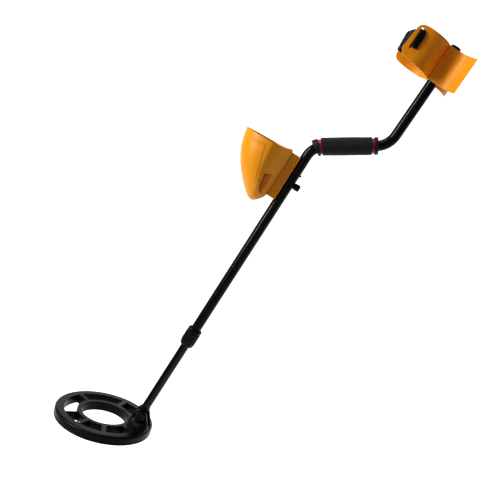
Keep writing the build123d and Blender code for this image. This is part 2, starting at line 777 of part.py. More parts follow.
# ---------------------------------------------------------------- control housing
def housing_section(height, front, rear, half, inset=0.0):
    """Outline across the housing: round nose, full sides, tapering back to the rod."""
    front = front - inset
    rear = rear + inset
    half = half - inset
    neck = min(neck_half, half * 0.6) - inset * 0.5
    middle = rear + side_share * (front - rear)
    shoulder = rear + shoulder_share * (front - rear)
    bulge = 0.5523            # cubic that follows a quarter of an ellipse
    nose = front - middle
    edges = []
    for side in (1, -1):
        edges.append(Bezier((rear, side * neck), (shoulder, side * half), (middle, side * half)))
        edges.append(Bezier((middle, side * half), (middle + bulge * nose, side * half),
                            (front, side * bulge * half), (front, 0)))
    edges.append(Line((rear, neck), (rear, -neck)))
    return Pos(0, 0, height) * make_face(edges)


def housing_form(inset=0.0):
    sections = []
    for height, front, rear, half in housing_sections:
        lift = inset if height < -70 else 0.0
        sections.append(housing_section(height + lift, front, rear, half, inset))
    back = housing_back + inset
    return loft(sections[::-1]) - block(-FAR, back, -FAR, FAR, -FAR, FAR)


def housing_space(margin):
    """Room inside the walls, with a margin left beside them."""
    inset = housing_wall + margin
    return housing_form(inset) - scoop(scoop_floor - inset, inset)


def rim_cut():
    """Everything above the rim, which rises to a lip beside the rod."""
    points = [
        (FAR, rim_front[1] - 3), rim_front, rim_kink, (46.0, rim_kink[1] + 2.0), rim_lip,
        rim_rear, (0, rim_rear[1]), (0, FAR), (FAR, FAR),
    ]
    return side_prism(points, FAR)


def scoop(floor, grow=0.0):
    """Hollow in each flank for fingers and the coil's plug."""
    points = [
        (54.0 + grow, -15.5 + grow), (31.0, -7.5 + grow), (26.5, -17.0), (26.5, -34.0),
        (28.5, -46.0), (34.0, -54.5 - grow), (41.0 + grow, -57.0 - grow), (48.5 + grow, -46.0),
    ]
    slope = 0.414 * grow      # keeps the sloping wall as thick as the flat one
    core = [
        (0, floor - scoop_slope), (scoop_start + slope, floor - scoop_slope),
        (scoop_start + scoop_slope + slope, floor), (FAR, floor), (FAR, -floor),
        (scoop_start + scoop_slope + slope, -floor), (scoop_start + slope, scoop_slope - floor),
        (0, scoop_slope - floor),
    ]
    kept = extrude(make_face(Polyline(*core, close=True)), FAR, both=True)
    return side_prism(points, FAR) - kept


def battery_window(margin):
    """Prism through the far flank over the batteries; local -Y is the far side."""
    x0, z0 = battery_corner
    return block(x0 - margin, battery_end + margin, -FAR, -20,
                 z0 - margin, z0 + battery_size[2] + margin)


def seam():
    """Shallow line on each flank, down from the rim to the scoop."""
    line = trace(Polyline((106.8, 30.3), (82.6, 35.3), (63.2, -33.8), (50.5, -33.8)), line_width=seam_width)
    return extrude(Plane.XZ * line, FAR, both=True) - housing_form(seam_depth)


def housing_shell():
    return housing_form() - housing_space(0) - scoop(scoop_floor) - rim_cut() - seam()


def control_housing(shell):
    body = shell - battery_window(door_margin + door_gap)
    body -= across(socket_thread, -FAR, 0, *socket_spot)
    for y, z in bracket_screw_spots():
        body -= outward(1.6 + screw_gap, -FAR, 40, z, y)
    for x, y in panel_screw_spots():
        post = Pos(x, y, 0) * bar(3.6, panel_height - panel_thickness - 14, panel_height - panel_thickness)
        web = Pos(x, y, 0) * bar(1.25, panel_height - panel_thickness - 15, panel_height)
        body += post & housing_form(housing_wall - 0.4)
        body -= web
    for x in board_ribs:
        rib = block(x, x + 2.5, 24, FAR, board_height - 14, board_height)
        body += rib & housing_form(housing_wall - 0.4)
    return body


def battery_door(shell):
    """Snap-in cover cut from the same flank as the housing."""
    return shell & battery_window(door_margin)


def panel_screw_spots():
    return [(115.0, 32.0), (115.0, -32.0), (40.5, 24.3), (40.5, -24.3)]


def face_panel():
    """Flat instrument panel, sunk below the housing's rim."""
    low = panel_height - panel_thickness
    plate = housing_form(housing_wall + 0.15) & block(-FAR, FAR, -FAR, FAR, low, panel_height)
    window_half = meter_half_width - 3
    plate -= block(meter_row - meter_half_depth + 3, meter_row + meter_half_depth - 3,
                   -window_half, window_half, low - 1, panel_height + 1)
    for side in (1, -1):
        plate -= Pos(knob_row, side * knob_side, 0) * bar(spindle_radius + screw_gap, 0, FAR)
    plate -= block(knob_row - switch_half_depth - screw_gap, knob_row + switch_half_depth + screw_gap,
                   -switch_half_width - screw_gap, switch_half_width + screw_gap, 0, FAR)
    plate -= Pos(*lamp_spot, 0) * bar(2.5, 0, FAR)
    plate -= Pos(*jack_spot, 0) * bar(jack_body_radius - 1, 0, FAR)
    for x, y in panel_screw_spots():
        plate -= Pos(x, y, 0) * bar(1.5 + screw_gap, 0, FAR)
    for x in (-8, -4, 0, 4, 8):
        slot = SlotOverall(2 * sqrt(speaker_radius**2 - x**2) - 4, 1.8)
        plate -= Pos(speaker_row + x, 0, low - 1) * (Rot(Z=90) * extrude(slot, panel_thickness + 2))
    return plate


def panel_screws():
    made = []
    for x, y in panel_screw_spots():
        screw = bar(2.9, panel_height, panel_height + 1.6) + bar(1.25, panel_height - 12, panel_height)
        screw -= block(-2.0, 2.0, -0.35, 0.35, panel_height + 0.8, panel_height + 2)
        screw -= block(-0.35, 0.35, -2.0, 2.0, panel_height + 0.8, panel_height + 2)
        made.append(Pos(x, y, 0) * screw)
    return group(made)


def meter_case():
    """Open-topped case of the signal meter, behind the panel's window."""
    high = panel_height - panel_thickness
    box_out = block(meter_row - meter_half_depth, meter_row + meter_half_depth,
                    -meter_half_width, meter_half_width, high - meter_depth, high)
    box_in = block(meter_row - meter_half_depth + meter_wall, meter_row + meter_half_depth - meter_wall,
                   -meter_half_width + meter_wall, meter_half_width - meter_wall,
                   high - meter_depth + meter_wall, high + 1)
    return box_out - box_in


def meter_window():
    """Clear lens that fills the panel's window."""
    lip = block(meter_row - meter_half_depth + meter_wall, meter_row + meter_half_depth - meter_wall,
                -meter_half_width + meter_wall, meter_half_width - meter_wall,
                panel_height - panel_thickness - 1.2, panel_height - panel_thickness)
    pane = block(meter_row - meter_half_depth + 3, meter_row + meter_half_depth - 3,
                 -meter_half_width + 3, meter_half_width - 3,
                 panel_height - panel_thickness, panel_height)
    return lip + pane


needle_pivot = meter_row - meter_half_depth + 5.0
dial_level = panel_height - panel_thickness - 8.0


def meter_dial():
    """Printed scale plate on the meter's frame."""
    plate = block(meter_row - meter_half_depth + meter_wall, meter_row + meter_half_depth - meter_wall,
                  -meter_half_width + meter_wall, meter_half_width - meter_wall, dial_level - 1, dial_level)
    return plate - Pos(needle_pivot, 0, 0) * bar(2.2, dial_level - 2, dial_level + 1)


def meter_movement():
    """Magnet drum under the dial that carries the needle's spindle."""
    floor = panel_height - panel_thickness - meter_depth + meter_wall
    drum = Pos(needle_pivot + 2.0, 0, 0) * bar(5.2, floor, dial_level - 1)
    return drum - Pos(needle_pivot, 0, 0) * bar(0.9 + turning_gap, floor + 1, dial_level + 1)


def meter_needle():
    """Spindle, counterweight and a long thin pointer."""
    floor = panel_height - panel_thickness - meter_depth + meter_wall
    spindle = Pos(needle_pivot, 0, 0) * bar(0.9, floor + 1, dial_level + 2.6)
    hub = Pos(needle_pivot, 0, 0) * bar(1.8, dial_level + 1.0, dial_level + 2.6)
    pointer = block(needle_pivot - 2.6, meter_row + meter_half_depth - 4.5, -0.4, 0.4,
                    dial_level + 1.4, dial_level + 2.2)
    return spindle + hub + pointer


def control_knob(side):
    """Skirted knob with fine flutes and a pointer groove."""
    low = panel_height + 0.6
    high = low + control_knob_height
    body = bar(control_knob_radius, low, low + 2.2) + bar(control_knob_radius - 1.8, low, high)
    body = fillet(body.edges().filter_by(GeomType.CIRCLE).sort_by(Axis.Z)[-1], 1.2)
    for spot in PolarLocations(control_knob_radius - 1.3, 20):
        body -= spot * bar(0.75, low + 2.2, high + 1)
    body -= block(0, control_knob_radius - 2.6, -0.5, 0.5, high - 0.7, high + 1)
    body -= bar(spindle_radius, low - 1, high - 3)
    return Pos(knob_row, side * knob_side, 0) * body


def spindle(side):
    """Potentiometer shaft from inside the case up into the knob."""
    low = panel_height - panel_thickness - pot_depth + 2
    piece = bar(spindle_radius, low, panel_height + 0.6 + control_knob_height - 3)
    return Pos(knob_row, side * knob_side, 0) * piece


def potentiometers():
    made = []
    high = panel_height - panel_thickness
    for side in (1, -1):
        can = bar(pot_radius, high - pot_depth, high)
        can -= bar(spindle_radius + turning_gap, high - pot_depth + 2, high + 1)
        tags = block(pot_radius - 1, pot_radius + 3, -6, 6, high - 4, high - 3.2)
        made.append(Pos(knob_row, side * knob_side, 0) * (can + tags))
    return group(made)


def switch_body():
    """Snap-in frame of the mode switch."""
    high = panel_height - panel_thickness
    frame = block(knob_row - switch_half_depth - 2, knob_row + switch_half_depth + 2,
                  -switch_half_width - 2, switch_half_width + 2, high - 12, high)
    frame -= block(knob_row - switch_half_depth + 0.6, knob_row + switch_half_depth - 0.6,
                   -switch_half_width + 0.6, switch_half_width - 0.6, high - 10, high + 1)
    pin = across(1.0, -switch_half_width - 1, switch_half_width + 1, knob_row, rocker_axis)
    return frame + pin


rocker_axis = panel_height - panel_thickness - 2.5


def mode_rocker():
    """Rocker that tips between the two search modes."""
    half = switch_half_depth - 1.4
    points = [(-half, -3), (half, -3), (half, 3.4), (0, 4.6), (-half, 3.4)]
    body = side_prism([(knob_row + x, rocker_axis + z) for x, z in points], switch_half_width - 1.2)
    return body - across(1.0 + turning_gap, -FAR, FAR, knob_row, rocker_axis)


def indicator_lamp():
    low = panel_height - panel_thickness
    lens = bar(2.5, low - 6, panel_height + 1.6)
    lens = fillet(lens.edges().sort_by(Axis.Z)[-1], 1.5)
    return Pos(*lamp_spot, 0) * (lens + bar(3.2, low - 1.4, low))


def headphone_jack():
    """Panel socket for a headphone plug, open at the top."""
    low = panel_height - panel_thickness
    body = bar(jack_body_radius, low - jack_length + panel_thickness, low)
    body += bar(jack_body_radius - 1, low, panel_height + 0.2)
    body += bar(jack_body_radius, panel_height, panel_height + 1.8)
    body -= bar(jack_bore_radius, low - jack_length + panel_thickness + 2, FAR)
    return Pos(*jack_spot, 0) * body


def speaker():
    """Small loudspeaker under the slots of the panel."""
    high = panel_height - panel_thickness
    rim_ring = tube(speaker_radius, speaker_radius - 2, high - 2, high)
    cone = Cone(speaker_radius - 5, speaker_radius, 4)
    cone = Pos(0, 0, high - 4) * cone
    magnet = bar(7.5, high - 13, high - 6)
    basket = rim_ring + cone + magnet
    basket -= Pos(0, 0, high - 2) * Cone(4.0, speaker_radius - 3, 4.02)
    return Pos(speaker_row, 0, 0) * basket


def circuit_board():
    return block(48, 110, 3, 34, board_height, board_height + board_thickness)


def board_parts():
    """Chips, capacitors and a header on the circuit board."""
    top = board_height + board_thickness
    made = [block(84, 94, 8, 16, top, top + 2.2), block(99, 106, 18, 27, top, top + 1.8)]
    for x, y, r, h in ((62, 11, 3, 7), (64, 24, 4, 5.5), (90, 24, 2.5, 6), (54, 18, 2.5, 7)):
        made.append(Pos(x, y, 0) * bar(r, top, top + h))
    made.append(block(74, 78, 10, 28, top, top + 5))
    return group(made)


def battery_tray():
    """Chute behind the door, open at the far flank, that holds the two batteries."""
    x0, z0 = battery_corner
    top = z0 + battery_size[2]
    wall = 1.2
    slack = 0.3
    outer = block(x0 - slack - wall, battery_end + slack + wall, -FAR, battery_near + slack + wall,
                  z0 - slack - wall, top + slack + wall)
    inner = block(x0 - slack, battery_end + slack, -FAR, battery_near + slack, z0 - slack, top + slack)
    return (outer - inner) & housing_space(0.15)


def battery_lefts():
    return [battery_corner[0], battery_corner[0] + battery_size[0] + battery_gap]


def batteries():
    """Two nine-volt blocks with their snap terminals."""
    length, width, height = battery_size
    z0 = battery_corner[1]
    made = []
    for x0 in battery_lefts():
        cell = block(x0, x0 + length, battery_near - width, battery_near, z0, z0 + height - 5.5)
        cell = fillet(cell.edges().filter_by(Axis.Z), 2.0)
        for y in (battery_near - 7, battery_near - width + 7):
            cell += Pos(x0 + length / 2, y, 0) * bar(2.9, z0 + height - 5.5, z0 + height - 3)
        made.append(cell)
    return group(made)


def battery_clips():
    """Snap plates pressed onto the terminals."""
    length, width, height = battery_size
    top = battery_corner[1] + height
    made = []
    for x0 in battery_lefts():
        made.append(block(x0 + 1.0, x0 + length - 1.0, battery_near - width + 0.5, battery_near - 0.5,
                          top - 3, top - 0.2))
    return group(made)


def coil_socket():
    """Round multi-pin socket for the coil's plug, in the far scoop."""
    floor = -scoop_floor
    body = across(socket_thread, floor - 4.5, floor + 11, *socket_spot)
    body += across(socket_thread + 1.2, floor - 2.0, floor, *socket_spot)
    body += across(socket_thread + 1.2, floor + housing_wall, floor + housing_wall + 1.8, *socket_spot)
    body -= across(socket_thread - 1.2, floor - 5, floor + 1, *socket_spot)
    for turn in range(4):
        x = socket_spot[0] + 1.9 * cos(radians(90 * turn))
        z = socket_spot[1] + 1.9 * sin(radians(90 * turn))
        body += across(0.5, floor - 3, floor + 1.5, x, z)
    return body


def bracket_screw_spots():
    return [(12.0, 38.0), (-12.0, 38.0), (12.0, 5.0), (-12.0, 5.0)]


def rod_bracket():
    """Saddle between the housing and the rods, hollow, with a round seat for the tubes."""
    back = housing_back
    body = block(bracket_near, back, -bracket_half, bracket_half, bracket_low, bracket_high)
    body -= bar(rod_radius, bracket_low - 1, bracket_high + 1)
    hollow = block(rod_radius + bracket_wall, back - bracket_wall, -bracket_half + bracket_wall,
                   bracket_half - bracket_wall, bracket_low + bracket_wall, bracket_high - bracket_wall)
    hollow -= outward(insert_radius + 2.5, 0, FAR, knob_height)
    body -= hollow
    body -= outward(insert_radius, bracket_near + 5, bracket_near + 14, knob_height)
    body -= outward(clamp_screw_radius + screw_gap, 0, bracket_near + 15, knob_height)
    for y, z in bracket_screw_spots():
        body -= outward(1.6, back - bracket_wall - 1, back + 1, z, y)
    return body


def bracket_screws():
    """Screws from inside the housing into the bracket."""
    back = housing_back + housing_wall
    made = []
    for y, z in bracket_screw_spots():
        screw = outward(3.0, back, back + 2, z, y)
        made.append(screw + outward(1.6, back - housing_wall - bracket_wall, back, z, y))
    return group(made)


# ---------------------------------------------------------------- write every piece
os.makedirs("parts", exist_ok=True)

save("upper_rod", Plane.XY, upper_rod())
save("joint_spigot", shaft, spigot())
save("middle_stem", shaft, middle_stem())
save("rod_end_cap", tail, rod_cap())
save("snap_button", shaft, snap_button())
save("snap_spring", shaft, snap_spring())
save("clamp_knob", shaft, clamp_knob())
save("clamp_screw", shaft, clamp_screw())
save("clamp_saddle", shaft, clamp_saddle())
save("clamp_insert", shaft, clamp_insert())
save("stem_ferrule", shaft, stem_ferrule())
save("collet", shaft, collet())
save("lock_collar", shaft, lock_collar())
save("lower_stem", shaft, lower_stem())
save("stem_guide_bush", shaft, guide_bush())
save("stem_foot", shaft, stem_foot())

moulding = coil_moulding()
save("coil_top_shell", coil, moulding - spoke_room())
save("coil_spokes", coil, moulding & spoke_room())
save("coil_bottom_cover", coil, coil_cover())
save("cover_screws", coil, cover_screws())
save("transmit_winding", coil, winding(outer_ring_inner, coil_radius))
save("receive_winding", coil, winding(hole_radius, inner_ring_outer))
save("coil_lead_gland", coil, lead_gland())
save("hinge_bolt", coil, hinge_bolt())
save("hinge_knob", coil, hinge_knob())
save("hinge_washers", coil, hinge_washers())

save("grip_sleeve", Plane.XY, grip_sleeve())
save("grip_bands", Plane.XY, grip_bands())
save("grip_end_rings", Plane.XY, grip_rings())

save("armrest", tail, armrest())
save("armrest_fixings", tail, group([armrest_screws(), armrest_nuts()]))
save("arm_strap", tail, arm_strap())
save("strap_stops", tail, strap_stops())

shell = housing_shell()
save("control_housing", shaft, control_housing(shell))
save("battery_door", shaft, battery_door(shell))
save("face_panel", shaft, face_panel())
save("panel_screws", shaft, panel_screws())
save("rod_bracket", shaft, rod_bracket())
save("bracket_screws", shaft, bracket_screws())
save("meter_case", shaft, meter_case())
save("meter_window", shaft, meter_window())
save("meter_dial", shaft, meter_dial())
save("meter_movement", shaft, meter_movement())
save("meter_needle", shaft, meter_needle())
save("sensitivity_knob", shaft, control_knob(1))
save("discrimination_knob", shaft, control_knob(-1))
save("sensitivity_spindle", shaft, spindle(1))
save("discrimination_spindle", shaft, spindle(-1))
save("potentiometers", shaft, potentiometers())
save("switch_body", shaft, switch_body())
save("mode_rocker", shaft, mode_rocker())
save("indicator_lamp", shaft, indicator_lamp())
save("headphone_jack", shaft, headphone_jack())
save("speaker", shaft, speaker())
save("circuit_board", shaft, circuit_board())
save("board_parts", shaft, board_parts())
save("battery_tray", shaft, battery_tray())
save("batteries", shaft, batteries())
save("battery_clips", shaft, battery_clips())
save("coil_socket", shaft, coil_socket())
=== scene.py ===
# %% [markdown]
# # A metal detector in Blender
# The solid parts of this detector come from its CAD model, which is loaded as a frame that
# never moves. What is added here is what CAD is poor at: foam, woven webbing, stitches, printed
# marks and above all the surfaces. Loading comes first, because every later measure is taken
# from the frame.

import json
import math

import bmesh
import bpy
from mathutils import Matrix, Vector, noise

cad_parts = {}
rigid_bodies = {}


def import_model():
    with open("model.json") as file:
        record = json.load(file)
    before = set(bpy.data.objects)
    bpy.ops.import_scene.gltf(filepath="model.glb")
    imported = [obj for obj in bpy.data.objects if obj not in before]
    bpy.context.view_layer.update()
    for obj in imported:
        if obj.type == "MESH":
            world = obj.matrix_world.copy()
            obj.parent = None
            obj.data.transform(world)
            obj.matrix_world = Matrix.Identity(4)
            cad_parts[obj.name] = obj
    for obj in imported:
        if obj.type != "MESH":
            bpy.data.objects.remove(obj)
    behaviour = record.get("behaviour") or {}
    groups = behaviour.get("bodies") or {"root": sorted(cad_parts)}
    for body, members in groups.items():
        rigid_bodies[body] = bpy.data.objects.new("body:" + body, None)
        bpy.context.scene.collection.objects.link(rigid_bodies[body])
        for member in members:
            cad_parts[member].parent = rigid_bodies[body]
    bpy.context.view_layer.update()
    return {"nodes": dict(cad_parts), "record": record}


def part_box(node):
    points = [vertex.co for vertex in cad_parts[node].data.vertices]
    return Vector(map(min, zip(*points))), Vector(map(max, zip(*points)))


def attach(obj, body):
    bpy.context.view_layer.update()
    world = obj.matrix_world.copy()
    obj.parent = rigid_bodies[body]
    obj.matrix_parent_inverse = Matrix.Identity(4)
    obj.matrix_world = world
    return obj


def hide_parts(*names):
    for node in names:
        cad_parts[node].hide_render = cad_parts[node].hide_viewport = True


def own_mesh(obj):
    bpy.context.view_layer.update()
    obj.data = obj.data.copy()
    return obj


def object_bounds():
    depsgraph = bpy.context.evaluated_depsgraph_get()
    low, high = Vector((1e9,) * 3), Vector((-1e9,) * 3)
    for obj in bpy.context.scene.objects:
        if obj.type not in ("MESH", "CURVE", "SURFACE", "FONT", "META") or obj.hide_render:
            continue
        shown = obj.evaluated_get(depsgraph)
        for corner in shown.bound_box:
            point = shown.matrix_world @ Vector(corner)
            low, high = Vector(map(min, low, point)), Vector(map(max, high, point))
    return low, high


for thing in list(bpy.data.objects):
    bpy.data.objects.remove(thing)

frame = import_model()
record = frame["record"]

# %% [markdown]
# The detector's parts lie along slanted rods, so lengths along a rod are easier to handle than
# X and Z. The joints in the record already hold those directions: the stem slides along the
# shaft, the coil tilts on its pin and the knobs turn about axes square to the face panel. A
# small class keeps an origin and three directions, and gives points in the detector's frame.

# %% Directions taken from the joints
joints = {joint["name"]: joint for joint in record["behaviour"]["joints"]}


class Bench:
    """A slanted work place: an origin, a direction out, a direction across and one along."""

    def __init__(self, origin, along, across=(0, 1, 0)):
        self.origin = Vector(origin)
        self.along = Vector(along).normalized()
        self.across = Vector(across).normalized()
        self.out = self.across.cross(self.along).normalized()

    def at(self, out=0.0, across=0.0, along=0.0):
        return self.origin + self.out * out + self.across * across + self.along * along


def middle(node):
    low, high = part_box(node)
    return (Vector(low) + Vector(high)) / 2


left_knob = Vector(joints["sensitivity_turn"]["pos_m"])
right_knob = Vector(joints["discrimination_turn"]["pos_m"])
panel = Bench((left_knob + right_knob) / 2, joints["sensitivity_turn"]["axis"], (0, -1, 0))
print("panel faces", [round(v, 3) for v in panel.along])
print("out of the rod", [round(v, 3) for v in panel.out])

# %% [markdown]
# The camera looks a little down on the detector's side from about a metre and a half. A Blender
# camera looks along its own -Z with +Y up, so its matrix is built from three directions: right,
# up and backwards. The lens is stated for a sensor 36 mm wide.

# %% Camera
heading = math.radians(-4.9)
dip = math.radians(8.6)
forward = Vector((math.sin(heading) * math.cos(dip), math.cos(heading) * math.cos(dip), -math.sin(dip)))
right = forward.cross(Vector((0, 0, 1))).normalized()
roll = -0.0127                # rise of the camera's right side, per unit of its length
right = (right + Vector((0, 0, roll))).normalized()
up = right.cross(forward).normalized()
eye = Vector((-0.0684, -1.5157, 0.0128))

camera = bpy.data.objects.new("camera", bpy.data.cameras.new("camera"))
bpy.context.scene.collection.objects.link(camera)
camera.data.sensor_width = 36.0
camera.data.lens = 51.8
camera.matrix_world = Matrix.Translation(eye) @ Matrix((right, up, -forward)).transposed().to_4x4()
bpy.context.scene.camera = camera
print("camera at", [round(v, 3) for v in eye], "lens", camera.data.lens)

# %% [markdown]
# Shader graphs are easier to read as sums than as boxes and wires. `Wire` wraps one output
# socket of a node; adding, multiplying or subtracting Wires builds the Math nodes behind them.
# `Graph` makes every other node of one tree through a single method, `node`, and `Finish` is the
# graph of one material.

# %% A small language for materials
class Wire:
    """One value in a graph, with arithmetic."""

    def __init__(self, graph, socket):
        self.graph = graph
        self.socket = socket

    def maths(self, operation, first, second):
        return self.graph.node("Math", {"operation": operation}, {0: first, 1: second})

    def __add__(self, other):
        return self.maths("ADD", self, other)

    def __sub__(self, other):
        return self.maths("SUBTRACT", self, other)

    def __mul__(self, other):
        return self.maths("MULTIPLY", self, other)

    def __rmul__(self, other):
        return self.maths("MULTIPLY", other, self)


class Graph:
    """One node tree and the ways to add to it."""

    def __init__(self, tree):
        self.tree = tree

    def node(self, kind, settings=None, sockets=None, output=0):
        """Any other node: its settings first, then the values and links of its sockets."""
        node = self.tree.nodes.new("ShaderNode" + kind)
        for label, value in (settings or {}).items():
            if label == "stops":
                self.set_stops(node.color_ramp, value)
            else:
                setattr(node, label, value)
        for label, value in (sockets or {}).items():
            if isinstance(value, Wire):
                self.tree.links.new(value.socket, node.inputs[label])
            else:
                node.inputs[label].default_value = value
        return Wire(self, node.outputs[output])

    def set_stops(self, ramp, stops):
        while len(ramp.elements) < len(stops):
            ramp.elements.new(0.5)
        for element, (position, colour) in zip(ramp.elements, stops):
            element.position = position
            element.color = (*colour, 1.0)

    def spread(self, wire, low, high, to_low=0.0, to_high=1.0):
        """The stretch from low to high of a value, mapped to another stretch."""
        sockets = {"Value": wire, "From Min": low, "From Max": high, "To Min": to_low, "To Max": to_high}
        return self.node("MapRange", None, sockets)

    def part(self, wire, axis):
        """One coordinate of a vector: X, Y or Z."""
        return self.node("SeparateXYZ", None, {0: wire}, output=axis)

    def plug(self, shader, **inputs):
        """Link what varies into a shader's inputs."""
        for label, wire in inputs.items():
            self.tree.links.new(wire.socket, shader.inputs[label.replace("_", " ")])


class Finish(Graph):
    """One material: a Principled shader and the nodes that vary it."""

    made = {}

    def __init__(self, name, **constants):
        self.material = bpy.data.materials.new(name)
        self.material.use_nodes = True
        super().__init__(self.material.node_tree)
        self.tree.nodes.clear()
        self.shader = self.tree.nodes.new("ShaderNodeBsdfPrincipled")
        output = self.tree.nodes.new("ShaderNodeOutputMaterial")
        self.tree.links.new(self.shader.outputs[0], output.inputs[0])
        for label, value in constants.items():
            self.shader.inputs[label.replace("_", " ")].default_value = value
        self.place = self.node("TexCoord", output="Object")
        Finish.made[name] = self

    def noise(self, scale, detail=3.0, rough=0.55):
        return self.node("TexNoise", None, {"Vector": self.place, "Scale": scale, "Detail": detail,
                                            "Roughness": rough})

    def cells(self, scale):
        return self.node("TexVoronoi", None, {"Vector": self.place, "Scale": scale})

    def blend(self, amount, first, second):
        """From the first colour to the second."""
        first = (*first, 1.0) if isinstance(first, tuple) else first
        second = (*second, 1.0) if isinstance(second, tuple) else second
        sockets = {0: amount, 6: first, 7: second}
        return self.node("Mix", {"data_type": "RGBA"}, sockets, output=2)

    def openness(self, reach):
        """One on open ground, towards nought where other surfaces lie within reach."""
        return self.node("AmbientOcclusion", {"samples": 16}, {"Distance": reach}, output="AO")

    def relief(self, height, distance, strength, under=None):
        sockets = {"Height": height, "Distance": distance, "Strength": strength}
        if under:
            sockets["Normal"] = under
        return self.node("Bump", None, sockets, output="Normal")

    def paint(self, **inputs):
        """Link what varies over the surface into the Principled shader."""
        self.plug(self.shader, **inputs)
        return self


def dress(finish, *names):
    """Give CAD nodes a finish in place of their plain colour."""
    for name in names:
        mesh = frame["nodes"][name].data
        mesh.materials.clear()
        mesh.materials.append(finish.material)


# %% [markdown]
# Moulded plastic is never one flat tone: the pigment clouds slightly as it flows, the steel
# mould leaves a fine grain, handling polishes some places and dulls others, and edges catch
# light because they are rounded. A Bevel node rounds the edges in the shading only, and where
# its normal leaves the true one the edge is painted paler, partly as wear and partly as a
# painted highlight. Hollows get a deeper, redder painted shade standing in for light bounced
# inside a coloured hollow, and creases get a darker painted shade. One function makes every
# plastic here, and the numbers say which plastic it is.

# %% Moulded plastics
cloud_rate, wear_rate, rub_rate = 9.0, 60.0, 14.0        # patches per metre
# Painted shade: within these reaches, in metres, hollows are painted deeper and redder and creases darker.
painted_hollow_shade_reach, painted_crease_shade_reach = 0.03, 0.005
painted_hollow_shade_tint = (0.9, 0.62, 0.4)                           # share of each colour left in a hollow
painted_crease_shade_share = 0.3                                       # share of the colour left in a crease


def moulded(name, colour, pale, grain, depth, rough, edge=0.0012, **constants):
    """Plastic with clouded pigment, mould grain, handling marks, edges painted paler as wear and as a
    highlight, and painted shade in hollows and creases.
    """
    finish = Finish(name, **constants)
    clouds = finish.spread(finish.noise(cloud_rate, 4.0), 0.3, 0.7)
    specks = finish.spread(finish.noise(grain * 0.4, 2.0), 0.45, 0.75)
    soft = finish.node("Bevel", {"samples": 6}, {"Radius": edge})
    true = finish.node("NewGeometry", output="Normal")
    facing = finish.node("VectorMath", {"operation": "DOT_PRODUCT"}, {0: soft, 1: true}, output="Value")
    rim = finish.spread(facing, 0.99, 0.8)
    # Paler edges: random wear patches on the rounded rim, partly a painted highlight where the edge would
    # catch light.
    wear_and_edge_highlight = finish.spread(finish.noise(wear_rate, 5.0, 0.7), 0.42, 0.62) * rim
    tone = finish.blend(clouds * 0.55 + specks * 0.2, colour, pale)
    light = tuple(min(1.0, c * 1.25 + 0.012) for c in pale)
    tone = finish.blend(wear_and_edge_highlight * 0.5, tone, light)
    # Painted shade: ambient occlusion deepens and reddens the colour in hollows and darkens it in creases.
    painted_hollow_shade = finish.spread(finish.openness(painted_hollow_shade_reach), 0.95, 0.35)
    painted_crease_shade = finish.spread(finish.openness(painted_crease_shade_reach), 0.9, 0.5)
    tone = finish.blend(painted_hollow_shade * 0.8, tone, tuple(c * t for c, t in zip(colour, painted_hollow_shade_tint)))
    tone = finish.blend(painted_crease_shade * 0.7, tone, tuple(c * painted_crease_shade_share for c in colour))
    rubbed = finish.spread(finish.noise(rub_rate, 6.0, 0.65), 0.35, 0.7, rough - 0.07, rough + 0.1)
    bumps = finish.noise(grain, 3.0, 0.6) + 0.35 * finish.cells(grain * 0.6)
    shape = finish.relief(bumps, depth, 0.6, under=soft)
    return finish.paint(Base_Color=tone, Roughness=rubbed - wear_and_edge_highlight * 0.06, Normal=shape)


shell_orange = moulded("shell_orange", (0.86, 0.33, 0.008), (0.89, 0.37, 0.014), 1500.0, 0.00004, 0.42,
                       Coat_Weight=0.05, Coat_Roughness=0.3, Specular_IOR_Level=0.3,
                       Subsurface_Weight=0.12, Subsurface_Scale=0.008)
coil_charcoal = moulded("coil_charcoal", (0.0045, 0.0046, 0.005), (0.008, 0.0082, 0.0088), 1300.0,
                        0.00008, 0.36, Specular_IOR_Level=0.16)
satin_black = moulded("satin_black", (0.005, 0.005, 0.0053), (0.009, 0.009, 0.0095), 1800.0, 0.00006, 0.36,
                      Specular_IOR_Level=0.2)
knob_black = moulded("knob_black", (0.004, 0.004, 0.0043), (0.008, 0.008, 0.0085), 2200.0, 0.00004, 0.28,
                     edge=0.0006, Specular_IOR_Level=0.25)
nylon_white = moulded("nylon_white", (0.68, 0.67, 0.62), (0.75, 0.74, 0.7), 1500.0, 0.00004, 0.45)
jack_nylon = moulded("jack_nylon", (0.01, 0.01, 0.01), (0.016, 0.016, 0.017), 2400.0, 0.00003, 0.35,
                     edge=0.0004)
band_red = moulded("band_red", (0.50, 0.002, 0.028), (0.58, 0.006, 0.04), 1500.0, 0.00004, 0.36)
print("plastics", len(Finish.made))

# %% [markdown]
# The rods are aluminium tube with a hard glossy black coat. Tube is drawn lengthways, so the
# faint unevenness under the coat is stretched along the rod: the noise is read from a place
# squeezed along one axis. Fingers leave broad smudges that change the roughness only.

# %% Coated tube
def coated_tube(name, colour, rough, turn, coat):
    """Glossy black coat over tube whose length lies turned from Z about the Y axis."""
    finish = Finish(name, Coat_Weight=coat, Coat_Roughness=0.16, Specular_IOR_Level=0.12)
    upright = finish.node("VectorRotate", {"rotation_type": "Y_AXIS"},
                          {"Vector": finish.place, "Angle": turn})
    drawn = finish.node("Mapping", None, {"Vector": upright, "Scale": (1.0, 1.0, 0.03)})
    lines = finish.node("TexNoise", None, {"Vector": drawn, "Scale": 900.0, "Detail": 3.0})
    smudge = finish.spread(finish.noise(22.0, 5.0, 0.6), 0.35, 0.75, rough - 0.05, rough + 0.12)
    dust = finish.spread(finish.noise(340.0, 4.0, 0.7), 0.68, 0.8)
    tone = finish.blend(dust * 0.4, colour, tuple(c * 2.2 + 0.006 for c in colour))
    shape = finish.relief(lines + 0.4 * finish.noise(1600.0, 2.0), 0.00002, 0.3)
    return finish.paint(Base_Color=tone, Roughness=smudge, Normal=shape)


